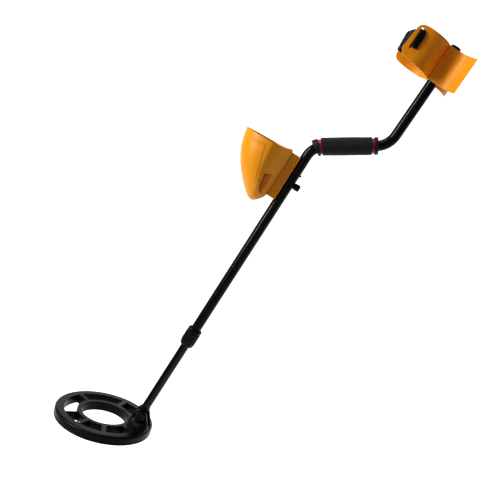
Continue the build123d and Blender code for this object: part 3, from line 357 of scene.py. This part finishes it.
shaft_lean = math.atan2(panel.along.x, panel.along.z)
rod_black = coated_tube("rod_black", (0.0035, 0.0035, 0.004), 0.3, -shaft_lean, 0.22)
stem_black = coated_tube("stem_black", (0.004, 0.004, 0.0045), 0.2, -shaft_lean, 0.6)
print("shaft leans", round(math.degrees(shaft_lean), 1), "degrees")

# %% [markdown]
# Bare metals show how they were worked. Screws and spindles are turned and zinc plated, with
# fine scratches and a slightly yellow cast here and there; brass dulls unevenly.

# %% Metals
def plated(name, colour, dull, rough):
    """Turned and plated metal: a cast that comes and goes, and fine scratches."""
    finish = Finish(name, Metallic=1.0)
    cast = finish.spread(finish.noise(160.0, 4.0), 0.35, 0.7)
    scratch = finish.node("Mapping", None, {"Vector": finish.place, "Scale": (1.0, 9.0, 1.0)})
    fine = finish.node("TexNoise", None, {"Vector": scratch, "Scale": 900.0, "Detail": 4.0})
    tone = finish.blend(cast, colour, dull)
    spread = finish.spread(fine, 0.3, 0.75, rough - 0.08, rough + 0.14)
    return finish.paint(Base_Color=tone, Roughness=spread, Normal=finish.relief(fine, 0.00002, 0.5))


steel = plated("steel", (0.56, 0.56, 0.57), (0.46, 0.44, 0.4), 0.3)
spring_steel = plated("spring_steel", (0.62, 0.62, 0.63), (0.5, 0.5, 0.5), 0.24)
brass = plated("brass", (0.72, 0.48, 0.17), (0.5, 0.33, 0.13), 0.32)
copper = plated("winding_copper", (0.55, 0.2, 0.09), (0.4, 0.13, 0.06), 0.42)

# %% [markdown]
# Rubber is dark, matt and slightly dusty, and it takes a grain from its mould. Closed-cell foam
# is the same black but open at the surface: thousands of cut cells, each a small pit, with a
# grey bloom where hands have rubbed it.

# %% Rubber and foam
def rubber(name, grain, rough):
    """Matt black rubber with a grain and a grey bloom."""
    finish = Finish(name, Specular_IOR_Level=0.35)
    bloom = finish.spread(finish.noise(30.0, 5.0, 0.6), 0.4, 0.75)
    tone = finish.blend(bloom * 0.6, (0.008, 0.008, 0.008), (0.02, 0.0195, 0.019))
    height = finish.noise(grain, 4.0, 0.6)
    spread = finish.spread(bloom, 0.0, 1.0, rough, rough + 0.15)
    return finish.paint(Base_Color=tone, Roughness=spread, Normal=finish.relief(height, 0.00008, 0.7))


ring_rubber = rubber("ring_rubber", 1500.0, 0.5)
soft_rubber = rubber("rubber_black", 1900.0, 0.6)

grip_foam = Finish("grip_foam", Specular_IOR_Level=0.25, Sheen_Weight=0.15, Sheen_Roughness=0.5)
pits = grip_foam.spread(grip_foam.cells(950.0), 0.05, 0.5)
small_pits = grip_foam.spread(grip_foam.cells(2100.0), 0.05, 0.45)
foam_pit_depth_and_shade = pits * 0.7 + small_pits * 0.3
foam_bloom = grip_foam.spread(grip_foam.noise(25.0, 5.0, 0.65), 0.4, 0.72)
# The pits are painted darker than the cell walls between them: painted shade in the pits, from the same
# mask as their depth.
foam_tone = grip_foam.blend(foam_pit_depth_and_shade, (0.004, 0.004, 0.004), (0.014, 0.0138, 0.0135))
foam_tone = grip_foam.blend(foam_bloom * 0.5, foam_tone, (0.024, 0.0235, 0.023))
foam_rough = grip_foam.spread(foam_bloom, 0.0, 1.0, 0.72, 0.9)
grip_foam.paint(Base_Color=foam_tone, Roughness=foam_rough,
                Normal=grip_foam.relief(foam_pit_depth_and_shade, 0.0003, 0.8))
print("finishes so far", len(Finish.made))

# %% [markdown]
# Nylon webbing is woven: flat yarns pass over and under each other in rows about a millimetre
# apart. Each point of the strap mesh will carry its own place on the flat tape, so the weave
# runs true round every bend. Two square waves, one for each yarn direction, make the pattern,
# and a sheen gives the soft light of many fibres.

# %% Woven webbing
def woven(name, dark, pale, pitch):
    """Yarns that cross every pitch, read from each point's place on the flat tape."""
    finish = Finish(name, Sheen_Weight=0.1, Sheen_Roughness=0.4, Specular_IOR_Level=0.15)
    tape = finish.node("Attribute", {"attribute_name": "tape"}, output="Vector")
    run, side = finish.part(tape, "X"), finish.part(tape, "Y")

    def ridge(place):
        wave = finish.node("Math", {"operation": "SINE"}, {0: place * (2 * math.pi / pitch)})
        return wave * 0.5 + 0.5

    warp = ridge(side)
    weft = ridge(run + side * 0.5)
    yarn = warp * 0.55 + weft * 0.45
    fibres = finish.noise(2600.0, 3.0, 0.7)
    fade = finish.spread(finish.noise(35.0, 4.0), 0.35, 0.7)
    tone = finish.blend(yarn * 0.7 + fibres * 0.3, dark, pale)
    tone = finish.blend(fade * 0.35, tone, tuple(c * 1.8 for c in pale))
    rough = finish.spread(fibres, 0.3, 0.7, 0.62, 0.8)
    return finish.paint(Base_Color=tone, Roughness=rough, Normal=finish.relief(yarn, 0.00022, 0.9))


webbing = woven("webbing_black", (0.0035, 0.0035, 0.004), (0.014, 0.014, 0.015), 0.0014)
thread = woven("thread_grey", (0.012, 0.012, 0.013), (0.04, 0.04, 0.042), 0.0005)

# %% [markdown]
# Inside the housing are the ordinary things of a small instrument: a green laminate board whose
# glass weave shows through the lacquer, dark moulded chips, plain battery sleeves, a paper cone,
# a white dial and a clear window. Each has its own small pattern.

# %% Instrument finishes
board_green = Finish("board_green", Coat_Weight=0.5, Coat_Roughness=0.15)
weave = board_green.node("TexWave", {"bands_direction": "DIAGONAL"},
                         {"Vector": board_green.place, "Scale": 300.0, "Distortion": 2.0})
tracks = board_green.spread(board_green.cells(110.0), 0.18, 0.24)
green = board_green.blend(tracks, (0.012, 0.14, 0.045), (0.006, 0.075, 0.028))
board_green.paint(Base_Color=green, Roughness=board_green.spread(weave, 0.0, 1.0, 0.3, 0.42),
                  Normal=board_green.relief(weave, 0.00002, 0.4))

speaker_grey = moulded("speaker_grey", (0.045, 0.044, 0.042), (0.07, 0.068, 0.065), 900.0, 0.0001, 0.7)
chip_black = moulded("chip_black", (0.009, 0.009, 0.01), (0.015, 0.015, 0.016), 2600.0, 0.00002, 0.5,
                     edge=0.0003)
battery_case = moulded("battery_case", (0.03, 0.032, 0.045), (0.045, 0.047, 0.06), 800.0, 0.00003, 0.28,
                       Coat_Weight=0.3)
panel_black = moulded("panel_black", (0.011, 0.011, 0.013), (0.017, 0.017, 0.019), 1700.0, 0.00005, 0.44)
lamp_red = moulded("lamp_red", (0.55, 0.01, 0.008), (0.65, 0.02, 0.012), 900.0, 0.00002, 0.14,
                   edge=0.0003, Coat_Weight=0.6, Transmission_Weight=0.25)
needle_red = moulded("needle_red", (0.5, 0.012, 0.01), (0.58, 0.02, 0.014), 2500.0, 0.00001, 0.35,
                     edge=0.0002)
dial_white = moulded("dial_white", (0.8, 0.8, 0.76), (0.86, 0.86, 0.83), 1200.0, 0.00001, 0.5,
                     edge=0.0002)
print_white = moulded("print_white", (0.72, 0.72, 0.7), (0.8, 0.8, 0.78), 3000.0, 0.00001, 0.5,
                      edge=0.0001)
print_green = moulded("print_green", (0.03, 0.3, 0.06), (0.05, 0.36, 0.08), 3000.0, 0.00001, 0.5,
                      edge=0.0001)

window = Finish("lens_clear", Transmission_Weight=1.0, IOR=1.49)
haze = window.spread(window.noise(45.0, 5.0, 0.6), 0.4, 0.75, 0.03, 0.14)
hairlines = window.node("TexNoise", None, {"Vector": window.place, "Scale": 1200.0, "Detail": 2.0})
window_tone = window.blend(window.noise(20.0), (0.93, 0.96, 0.97), (0.97, 0.98, 0.98))
window.paint(Base_Color=window_tone, Roughness=haze, Normal=window.relief(hairlines, 0.000004, 0.3))
print("finishes", sorted(Finish.made))

# %% [markdown]
# Every CAD node now changes its plain colour for one of these finishes.

# %% Dress the CAD nodes
dress(rod_black, "upper_rod", "middle_stem", "joint_spigot")
dress(stem_black, "lower_stem")
dress(satin_black, "rod_end_cap", "stem_ferrule", "stem_guide_bush", "stem_foot", "hinge_bolt",
      "clamp_saddle", "strap_stops", "switch_body", "meter_case", "battery_tray")
dress(knob_black, "snap_button", "clamp_knob", "lock_collar", "hinge_knob", "sensitivity_knob",
      "discrimination_knob", "mode_rocker")
dress(coil_charcoal, "coil_top_shell", "coil_spokes", "coil_bottom_cover")
dress(shell_orange, "control_housing", "battery_door", "rod_bracket", "armrest")
dress(steel, "clamp_screw", "cover_screws", "armrest_fixings", "panel_screws",
      "bracket_screws", "potentiometers", "sensitivity_spindle", "discrimination_spindle",
      "meter_movement")
dress(spring_steel, "snap_spring")
dress(brass, "clamp_insert")
dress(nylon_white, "collet")
dress(jack_nylon, "headphone_jack", "coil_socket")
dress(copper, "transmit_winding", "receive_winding")
dress(ring_rubber, "grip_end_rings")
dress(soft_rubber, "coil_lead_gland", "hinge_washers")
dress(band_red, "grip_bands")
dress(panel_black, "face_panel")
dress(window, "meter_window")
dress(dial_white, "meter_dial")
dress(needle_red, "meter_needle")
dress(lamp_red, "indicator_lamp")
dress(speaker_grey, "speaker")
dress(board_green, "circuit_board")
dress(chip_black, "board_parts", "battery_clips")
dress(battery_case, "batteries")
own = {finish.material.name for finish in Finish.made.values()}
left = [n for n, o in frame["nodes"].items() if o.data.materials[0].name not in own]
print("nodes still plain", left)

# %% [markdown]
# New pieces are plain meshes built from lists of corners. `build` turns corners and faces into
# an object, smooths its shading, gives it a finish and lets it ride on the body that carries it.

# %% Making a piece
def build(name, corners, faces, finish, body, smooth=40.0):
    mesh = bpy.data.meshes.new(name)
    mesh.from_pydata([tuple(c) for c in corners], [], faces)
    tidy = bmesh.new()
    tidy.from_mesh(mesh)
    bmesh.ops.recalc_face_normals(tidy, faces=tidy.faces)
    tidy.to_mesh(mesh)
    tidy.free()
    piece = bpy.data.objects.new(name, mesh)
    bpy.context.scene.collection.objects.link(piece)
    mesh.materials.append(finish.material)
    mesh.shade_smooth()
    mesh.set_sharp_from_angle(angle=math.radians(smooth))
    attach(piece, body)
    return piece


BODY = joints["sensitivity_turn"]["parent"]
print("most pieces ride on", BODY)

# %% [markdown]
# The snap button is pushed out by a bent leaf inside the rods' joint. The leaf can't follow the
# button as a rigid piece, so a copy of it stands in, and its depth along the button's travel is
# found.

# %% Leaf spring
leaf_node = frame["nodes"]["snap_spring"]
leaf = bpy.data.objects.new("snap_leaf_spring", leaf_node.data.copy())
leaf.matrix_world = leaf_node.matrix_world.copy()
bpy.context.scene.collection.objects.link(leaf)
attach(leaf, BODY)
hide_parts("snap_spring")
press = Vector(joints["button_press"]["axis"])
travel = joints["button_press"]["range_m"][1]
depths = [press.dot(leaf_node.matrix_world @ corner.co) for corner in leaf.data.vertices]
leaf_depth = max(depths) - min(depths)
press * max(depths)
1 - (travel + 0.0001) / leaf_depth
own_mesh(leaf)
print("leaf depth mm", round(leaf_depth * 1000, 2))

# %% [markdown]
# The grip is a foam tube pushed over the rod. It could stay the CAD cylinder, but foam is never
# so exact: it swells a little between its ends, its cut ends are rounded, and it has soft dents.
# A profile is turned round the rod's axis in small steps, and each corner is moved by a smooth
# noise of a fraction of a millimetre.

# %% Foam sleeve
low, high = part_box("grip_sleeve")
sleeve_radius = (high[1] - low[1]) / 2
rod_low, rod_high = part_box("middle_stem")
bore = (rod_high[1] - rod_low[1]) / 2 + 0.0001
bend_radius, bend_start = 0.042, -0.0435
sleeve_front = bend_start - 0.0045
rows, around = 72, 128        # steps along the sleeve and round it
round_end = 0.0016            # rounding of its cut ends
slack = 0.0002                # the skin lies this far inside the CAD radius
swell = 0.0003                # and rises by this half way along
dent_depth = 0.0003


def sleeve_profile():
    """(distance along the rod, radius) of the outside, then back along the bore."""
    points = [(sleeve_front, bore)]
    for step in range(7):
        turn = math.radians(15 * step)
        points.append((sleeve_front + round_end * (1 - math.cos(turn)),
                       sleeve_radius - round_end + round_end * math.sin(turn)))
    for step in range(1, rows):
        share = step / rows
        x = sleeve_front + round_end + share * (high[0] - sleeve_front - 2 * round_end)
        points.append((x, sleeve_radius + swell * math.sin(math.pi * share) - slack))
    for step in range(6, -1, -1):
        turn = math.radians(15 * step)
        points.append((high[0] - round_end * (1 - math.cos(turn)),
                       sleeve_radius - round_end + round_end * math.sin(turn)))
    return points + [(high[0] - step * (high[0] - sleeve_front) / 24, bore) for step in range(24)]


def round_bend(x, y, z):
    """A point beside the straight rod, carried round the front bend if it lies before it."""
    turn = max(0.0, bend_start - x) / bend_radius
    if turn == 0.0:
        return Vector((x, y, z))
    return Vector((bend_start - (bend_radius + z) * math.sin(turn), y,
                   (bend_radius + z) * math.cos(turn) - bend_radius))


def turned(profile, softness):
    """Corners and faces of a profile turned about the rod, closed end to end."""
    corners, faces = [], []
    for x, radius in profile:
        for step in range(around):
            angle = 2 * math.pi * step / around
            spot = Vector((x, math.cos(angle), math.sin(angle)))
            dent = softness * noise.noise(Vector((x * 60, spot.y * 1.6, spot.z * 1.6)))
            reach = radius + (dent if radius > bore + 0.001 else 0.0)
            corners.append(round_bend(x, reach * spot.y, reach * spot.z))
    count = len(profile)
    for ring in range(count):
        following = (ring + 1) % count
        for step in range(around):
            other = (step + 1) % around
            faces.append((ring * around + step, ring * around + other,
                          following * around + other, following * around + step))
    return corners, faces


corners, faces = turned(sleeve_profile(), dent_depth)
sleeve = build("foam_sleeve", corners, faces, grip_foam, BODY)
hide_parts("grip_sleeve")
print("sleeve radius mm", round(sleeve_radius * 1000, 1), "corners", len(corners))

# %% [markdown]
# The arm strap is one length of webbing: out through one slot, over the forearm and out through
# the other, with a folded tail outside each. The openings in the record give the cuff's own
# direction. A tape is a thin rectangle carried along a line, so the line comes first, as a few
# corners that are rounded by cutting them off again and again.

# %% The line of the strap
openings = {o["name"]: [Vector(corner) for corner in o["box_m"]] for o in record["physics"]["openings"]}


def opening_middle(name):
    return sum(openings[name], Vector()) / 2


cuff = Bench(opening_middle("arm_cuff_middle"),
             opening_middle("arm_cuff_rear") - opening_middle("arm_cuff_front"), (0, -1, 0))
strap_middle = middle("arm_strap")
strap_along = (strap_middle - cuff.origin).dot(cuff.along)


def rounded(points, times):
    """A line whose corners are cut off at a quarter and three quarters, several times."""
    for _ in range(times):
        cut = [points[0]]
        for first, second in zip(points, points[1:]):
            cut.append(first.lerp(second, 0.25))
            cut.append(first.lerp(second, 0.75))
        points = cut + [points[-1]]
    return points


def arch(half, rise, spring, start, stop, steps):
    """Part of half an ellipse over the forearm, in the plane across the cuff."""
    line = []
    for step in range(steps + 1):
        angle = math.radians(start + (stop - start) * step / steps)
        line.append(Vector((half * math.cos(angle), spring + rise * math.sin(angle))))
    return line


slot_level = 0.022            # above the middle of the cuff's opening
inside, outside = 0.0454, 0.0516          # the tape's middle on either side of the cuff's wall
spring_level = slot_level + 0.003         # where the straight sides turn into the arch
strap_rise = 0.0138           # height of the arch
strap_lean = 0.006            # lean of its crown towards the grip
tail_length, tail_bow = 0.0118, 0.0003
right_tail = [Vector((outside, slot_level - tail_length)),
              Vector((outside + tail_bow, slot_level - 0.005)),
              Vector((outside, slot_level)), Vector((inside, slot_level)),
              Vector((inside, spring_level))]
left_tail = [Vector((-p.x, p.y)) for p in reversed(right_tail)]
over = arch(inside, strap_rise, spring_level, 4, 176, 44)
strap_line = rounded(right_tail, 2) + over + rounded(left_tail, 2)
strap_length = sum((b - a).length for a, b in zip(strap_line, strap_line[1:]))
print("strap length mm", round(strap_length * 1000))

# %% [markdown]
# The tape's cross-section is a flat bar with rolled edges: thinner in the middle, where the
# yarns are pulled tight, and thicker at the two selvedges. Every corner also stores its place on
# the flat tape, which the webbing's weave reads.

# %% Webbing along a line
def tape_section(width, thick, steps=18):
    """(along the width, through the tape) round the tape's section."""
    half = width / 2
    selvedge, swelling, rim = 0.86, 0.12, 0.35          # as shares of the half width and thickness
    top = []
    for step in range(steps + 1):
        side = -half + width * step / steps
        edge = abs(side) / half
        bulge = math.sin((edge - selvedge) / (1 - selvedge) * math.pi)
        roll = 1.0 if edge < selvedge else 1.0 + swelling * bulge
        fall = 1.0 if edge < 0.999 else rim
        top.append((side, thick / 2 * roll * fall))
    return top + [(side, -height) for side, height in reversed(top)]


def lean(level):
    """How far the strap leans towards the grip, more with its height over the slots."""
    return strap_lean * max(0.0, level - slot_level) / strap_rise


def webbing_piece(name, line, width, thick, finish):
    """A tape along a line in the plane across the cuff, with its flat place on every corner."""
    section = tape_section(width, thick)
    corners, faces, places = [], [], []
    run = 0.0
    for index, spot in enumerate(line):
        before, after = line[max(index - 1, 0)], line[min(index + 1, len(line) - 1)]
        forward_step = (after - before).normalized()
        away = Vector((-forward_step.y, forward_step.x))
        run += (spot - line[index - 1]).length if index else 0.0
        for side, height in section:
            flat = spot + away * height
            corners.append(cuff.at(out=flat.y, across=flat.x, along=strap_along + side - lean(flat.y)))
            places.append((run, side, 0.0))
    count = len(section)
    for ring in range(len(line) - 1):
        for step in range(count):
            other = (step + 1) % count
            faces.append((ring * count + step, ring * count + other,
                          (ring + 1) * count + other, (ring + 1) * count + step))
    faces.append(tuple(range(count)))
    faces.append(tuple(range((len(line) - 1) * count, len(line) * count)))
    piece = build(name, corners, faces, finish, BODY, smooth=50.0)
    layer = piece.data.attributes.new("tape", "FLOAT_VECTOR", "POINT")
    for corner, place in zip(layer.data, places):
        corner.vector = place
    return piece


strap = webbing_piece("arm_strap_webbing", strap_line, 0.038, 0.0015, webbing)
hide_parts("arm_strap")
print("strap faces", len(strap.data.polygons))

# %% [markdown]
# The strap is fastened over the forearm: a second layer laps over the first on the far side, and
# its end is sewn down with a box of stitches and a cross inside it. Each stitch is a small bead
# of thread pressed into the webbing, so the rows keep their shape in every light.

# %% Lapped end
lap_lift = 0.0017             # the second layer's middle above the first's
lap_line = arch(inside + lap_lift, strap_rise + lap_lift, spring_level, 62, 150, 26)
lap_thick = 0.0014
lap = webbing_piece("arm_strap_lap", lap_line, 0.036, lap_thick, webbing)


# %% Stitches
def bead(centre, ahead, away, length, thick):
    """A stitch: six-sided in section, pinched where it dives into the cloth."""
    beside = ahead.cross(away)
    corners, faces = [], []
    for share, swell in ((-0.5, 0.25), (-0.3, 0.85), (0.0, 1.0), (0.3, 0.85), (0.5, 0.25)):
        for step in range(6):
            angle = math.radians(60 * step)
            rim = beside * math.cos(angle) + away * math.sin(angle)
            corners.append(centre + ahead * (length * share) + rim * (thick * swell / 2))
    for ring in range(4):
        for step in range(6):
            other = (step + 1) % 6
            faces.append((ring * 6 + step, ring * 6 + other, (ring + 1) * 6 + other, (ring + 1) * 6 + step))
    faces += [tuple(range(6)), tuple(range(24, 30))]
    return corners, faces


def on_lap(run, side):
    """A point and its outward direction on top of the lapped layer."""
    share = run * (len(lap_line) - 1)
    index = min(int(share), len(lap_line) - 2)
    spot = lap_line[index].lerp(lap_line[index + 1], share - index)
    step = (lap_line[index + 1] - lap_line[index]).normalized()
    away = Vector((step.y, -step.x))
    flat = spot + away * (lap_thick / 2)
    place = cuff.at(out=flat.y, across=flat.x, along=strap_along + side - lean(flat.y))
    outward = cuff.out * away.y + cuff.across * away.x
    return place, outward.normalized()


stitch_length, stitch_gap, stitch_thick = 0.0021, 0.0007, 0.0006


def sewn(rows_of_ends):
    """Beads along straight rows, each row given by two (run, side) ends."""
    corners, faces = [], []
    for (run_a, side_a), (run_b, side_b) in rows_of_ends:
        first, _ = on_lap(run_a, side_a)
        last, _ = on_lap(run_b, side_b)
        count = max(2, round((last - first).length / (stitch_length + stitch_gap)))
        for step in range(count):
            share = (step + 0.5) / count
            here = (run_a + (run_b - run_a) * share, side_a + (side_b - side_a) * share)
            place, outward = on_lap(*here)
            ahead = (last - first).normalized()
            ahead = (ahead - outward * ahead.dot(outward)).normalized()
            more, sides = bead(place, ahead, outward, stitch_length, stitch_thick)
            faces += [tuple(corner + len(corners) for corner in side) for side in sides]
            corners += more
    return corners, faces


box_rows = []
near, far = -0.0145, 0.0145   # the rows of stitches across the lap's width
for start, stop in ((0.03, 0.24), (0.76, 0.97)):
    box_rows += [((start, near), (stop, near)), ((start, far), (stop, far)),
                 ((start, near), (start, far)), ((stop, near), (stop, far)),
                 ((start, near), (stop, far)), ((start, far), (stop, near))]
corners, faces = sewn(box_rows)
build("strap_stitches", corners, faces, thread, BODY)
print("stitch corners", len(corners))

# %% [markdown]
# The face panel looks up the shaft at the user. Its printed marks are thin raised ink: an arc of
# ticks round each knob, longer every fifth one, and a frame round the meter's window. No words
# are printed. Marks lie on a slanted plane, so they are placed with the panel's own bench.

# %% Marks on a slanted plane
def slab(bench, outline, low, high, corners, faces):
    """Add a thin plate of a flat outline of (out, across) points to the lists."""
    start = len(corners)
    count = len(outline)
    for level in (low, high):
        corners += [bench.at(out=o, across=a, along=level) for o, a in outline]
    faces.append(tuple(range(start, start + count)))
    faces.append(tuple(range(start + count, start + 2 * count)))
    for step in range(count):
        other = (step + 1) % count
        faces.append((start + step, start + other, start + count + other, start + count + step))


def tick(centre, angle, inner, outer, width):
    """Four points of one tick that points away from a centre."""
    ahead = Vector((math.cos(angle), math.sin(angle)))
    beside = Vector((-ahead.y, ahead.x)) * (width / 2)
    middle_point = Vector(centre)
    return [tuple(middle_point + ahead * r + beside * s)
            for r, s in ((inner, -1), (outer, -1), (outer, 1), (inner, 1))]


def band(centre, inner, outer, start, stop, steps):
    """A flat piece of a ring between two angles, as strips of four points."""
    strips = []
    for step in range(steps):
        a = start + (stop - start) * step / steps
        b = start + (stop - start) * (step + 1) / steps
        strips.append([(centre[0] + r * math.cos(t), centre[1] + r * math.sin(t))
                       for r, t in ((inner, a), (outer, a), (outer, b), (inner, b))])
    return strips


# %% Ticks round the two knobs
knob_gap = (left_knob - right_knob).length / 2
face = -0.005                 # the panel's face below the knobs' middle
ring_inner, ring_short, ring_long = 0.0106, 0.0122, 0.0136
thin_tick, thick_tick = 0.0004, 0.0006
ink_sunk, ink_proud = 0.00005, 0.00012
corners, faces = [], []
for side in (1, -1):
    centre = (0.0, side * knob_gap)
    for mark in range(21):
        angle = math.radians(-150 + 15 * mark)
        outer, width = (ring_short, thin_tick) if mark % 5 else (ring_long, thick_tick)
        slab(panel, tick(centre, angle, ring_inner, outer, width),
             face - ink_sunk, face + ink_proud, corners, faces)
build("knob_marks", corners, faces, print_white, BODY)
print("ticks", len(faces) // 6)

# %% [markdown]
# The meter's window sits in a raised frame with rounded corners. Under the clear window the
# dial has a scale: a fine arc with ticks, and a thick green stretch where a good find shows.
# The needle is a CAD node with its own joint, so the scale is centred on that joint's axis.

# %% Frame of the meter's window
meter_out = (middle("meter_case") - panel.origin).dot(panel.out)
half_out, half_across = 0.011, 0.022      # half of the frame's opening
corner_radius = 0.0015
lip, lip_height = 0.0026, 0.0013


def round_rectangle(half_a, half_b, radius, steps=6):
    """Points round a rectangle with rounded corners."""
    points = []
    for corner_a, corner_b, start in ((1, 1, 0), (-1, 1, 90), (-1, -1, 180), (1, -1, 270)):
        for step in range(steps + 1):
            angle = math.radians(start + 90 * step / steps)
            points.append((corner_a * (half_a - radius) + radius * math.cos(angle),
                           corner_b * (half_b - radius) + radius * math.sin(angle)))
    return points


# (growth of the opening, level) round the frame's section, with its two top edges bevelled
rings = [(0.0, face), (0.0, face + 0.0008), (0.0005, face + lip_height),
         (lip - 0.0006, face + lip_height), (lip, face + 0.0007), (lip, face)]
corners, faces = [], []
for grow, level in rings:
    loop = round_rectangle(half_out + grow, half_across + grow, corner_radius + grow)
    corners += [panel.at(out=meter_out + a, across=b, along=level) for a, b in loop]
count = len(corners) // len(rings)
for ring in range(len(rings)):
    following = (ring + 1) % len(rings)
    for step in range(count):
        other = (step + 1) % count
        faces.append((ring * count + step, ring * count + other,
                      following * count + other, following * count + step))
build("meter_bezel", corners, faces, satin_black, BODY)
print("meter is", round(meter_out * 1000, 1), "mm from the knobs")

# %% Scale under the needle
pivot = Vector(joints["needle_swing"]["pos_m"]) - panel.origin
pivot_out = pivot.dot(panel.out)
dial_top = -0.0155            # the dial's face below the knobs' middle
print_low, print_high = dial_top - 0.00005, dial_top + 0.0001
scale_centre = (pivot_out, 0.0)
scale_end = math.radians(40)
scale_radius, line_width, tick_width = 0.0198, 0.0003, 0.00035
corners, faces = [], []
for mark in range(17):
    angle = math.radians(-40 + 5 * mark)
    inner = 0.0186 if mark % 4 else 0.0178
    slab(panel, tick(scale_centre, angle, inner, scale_radius, tick_width),
         print_low, print_high, corners, faces)
for strip in band(scale_centre, scale_radius, scale_radius + line_width, -scale_end, scale_end, 24):
    slab(panel, strip, print_low, print_high, corners, faces)
build("meter_scale", corners, faces, chip_black, BODY)

good_start, good_inner, good_outer = math.radians(10), 0.0152, 0.0170
corners, faces = [], []
for strip in band(scale_centre, good_inner, good_outer, good_start, scale_end, 12):
    slab(panel, strip, print_low, print_high, corners, faces)
build("meter_good_stretch", corners, faces, print_green, BODY)
print("scale made")

# %% [markdown]
# Each knob has a groove in its top that points at the ticks. The groove is filled with white
# paint, a sliver with rounded ends, and it rides on the knob's own body so that it turns too.

# %% Pointer lines on the knobs
knob_top = 0.0056             # top of the knobs above their middle
groove_inner, groove_outer, groove_half = 0.0011, 0.0066, 0.00042
paint_low, paint_high = knob_top - 0.0007, knob_top - 0.0002


def pointer_line(side):
    """Outline of the sliver of paint on one knob."""
    outline = []
    for end, start in ((groove_outer, -90), (groove_inner, 90)):
        for step in range(7):
            angle = math.radians(start + 30 * step)
            outline.append((end + groove_half * math.cos(angle),
                            side * knob_gap + groove_half * math.sin(angle)))
    return outline


for name, side in (("sensitivity", 1), ("discrimination", -1)):
    corners, faces = [], []
    slab(panel, pointer_line(side), paint_low, paint_high, corners, faces)
    build(name + "_line", corners, faces, print_white, joints[name + "_turn"]["child"])
print("knobs turn with", joints["sensitivity_turn"]["child"], joints["discrimination_turn"]["child"])

# %% [markdown]
# The floor and the lights aren't part of the detector. The detector is held in the hand, so the
# floor lies well below the coil, out of its reach when the stem is out and the coil tilted down.
# It is pale card with painted light: it glows softly behind the detector, standing in for a lit
# sweep, and stays plain in front. Black gloss shows whatever stands before it, so the room is
# bright only behind the detector and dim elsewhere.

# %% Floor
low_corner, high_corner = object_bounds()
floor_mesh = bpy.data.meshes.new("floor")
reach = 14.0                  # half of the floor's side
floor_drop = 0.27             # below the lowest point of the detector at rest
level = low_corner[2] - floor_drop
floor_mesh.from_pydata([(-reach, -reach, level), (reach, -reach, level), (reach, reach, level),
                        (-reach, reach, level)], [], [(0, 1, 2, 3)])
floor = bpy.data.objects.new("floor", floor_mesh)
bpy.context.scene.collection.objects.link(floor)
floor_finish = Finish("pale_floor", Roughness=0.9, Specular_IOR_Level=0.1, Emission_Strength=1.0)
floor_tone = floor_finish.blend(floor_finish.spread(floor_finish.noise(1.5), 0.3, 0.7),
                                (0.68, 0.68, 0.68), (0.71, 0.71, 0.705))
# Painted light: the floor's emission rises from nothing in front of the detector to a glow behind it.
behind = floor_finish.spread(floor_finish.part(floor_finish.place, "Y"), -0.5, 0.5)
painted_sweep_light = floor_finish.blend(behind, (0.0, 0.0, 0.0), (0.9, 0.9, 0.9))
floor_finish.paint(Base_Color=floor_tone, Emission_Color=painted_sweep_light)
floor_mesh.materials.append(floor_finish.material)
print("floor at", round(level, 3))


# %% Lights
def soft_light(name, place, target, width, height, power):
    """A rectangular lamp that looks at a target."""
    lamp = bpy.data.lights.new(name, "AREA")
    lamp.shape = "RECTANGLE"
    lamp.size, lamp.size_y = width, height
    lamp.energy = power
    holder = bpy.data.objects.new(name, lamp)
    bpy.context.scene.collection.objects.link(holder)
    holder.location = place
    holder.rotation_euler = (target - Vector(place)).to_track_quat("-Z", "Y").to_euler()


centre = (Vector(low_corner) + Vector(high_corner)) / 2
soft_light("key", (-1.9, -1.05, 1.25), centre, 0.35, 1.6, 48.0)
soft_light("overhead", (-0.2, -0.1, 1.9), centre, 1.2, 0.8, 11.0)
soft_light("fill", (-0.6, -2.2, 0.3), centre, 0.8, 0.8, 2.0)

world = bpy.data.worlds.new("studio")
world.use_nodes = True
sky = Graph(world.node_tree)
looking = sky.node("TexCoord", output="Generated")
toward = sky.node("VectorMath", {"operation": "DOT_PRODUCT"}, {0: looking, 1: forward}, output="Value")
dim, bright = 0.06, 1.15      # strength of the room in front of the detector and behind it
backdrop = world.node_tree.nodes["Background"]
backdrop.inputs["Color"].default_value = (1.0, 1.0, 1.0, 1.0)
sky.plug(backdrop, Strength=sky.spread(toward, 0.45, 0.85, dim, bright))
bpy.context.scene.world = world
bpy.context.scene.view_settings.view_transform = "Standard"
bpy.context.scene.view_settings.look = "Medium High Contrast"
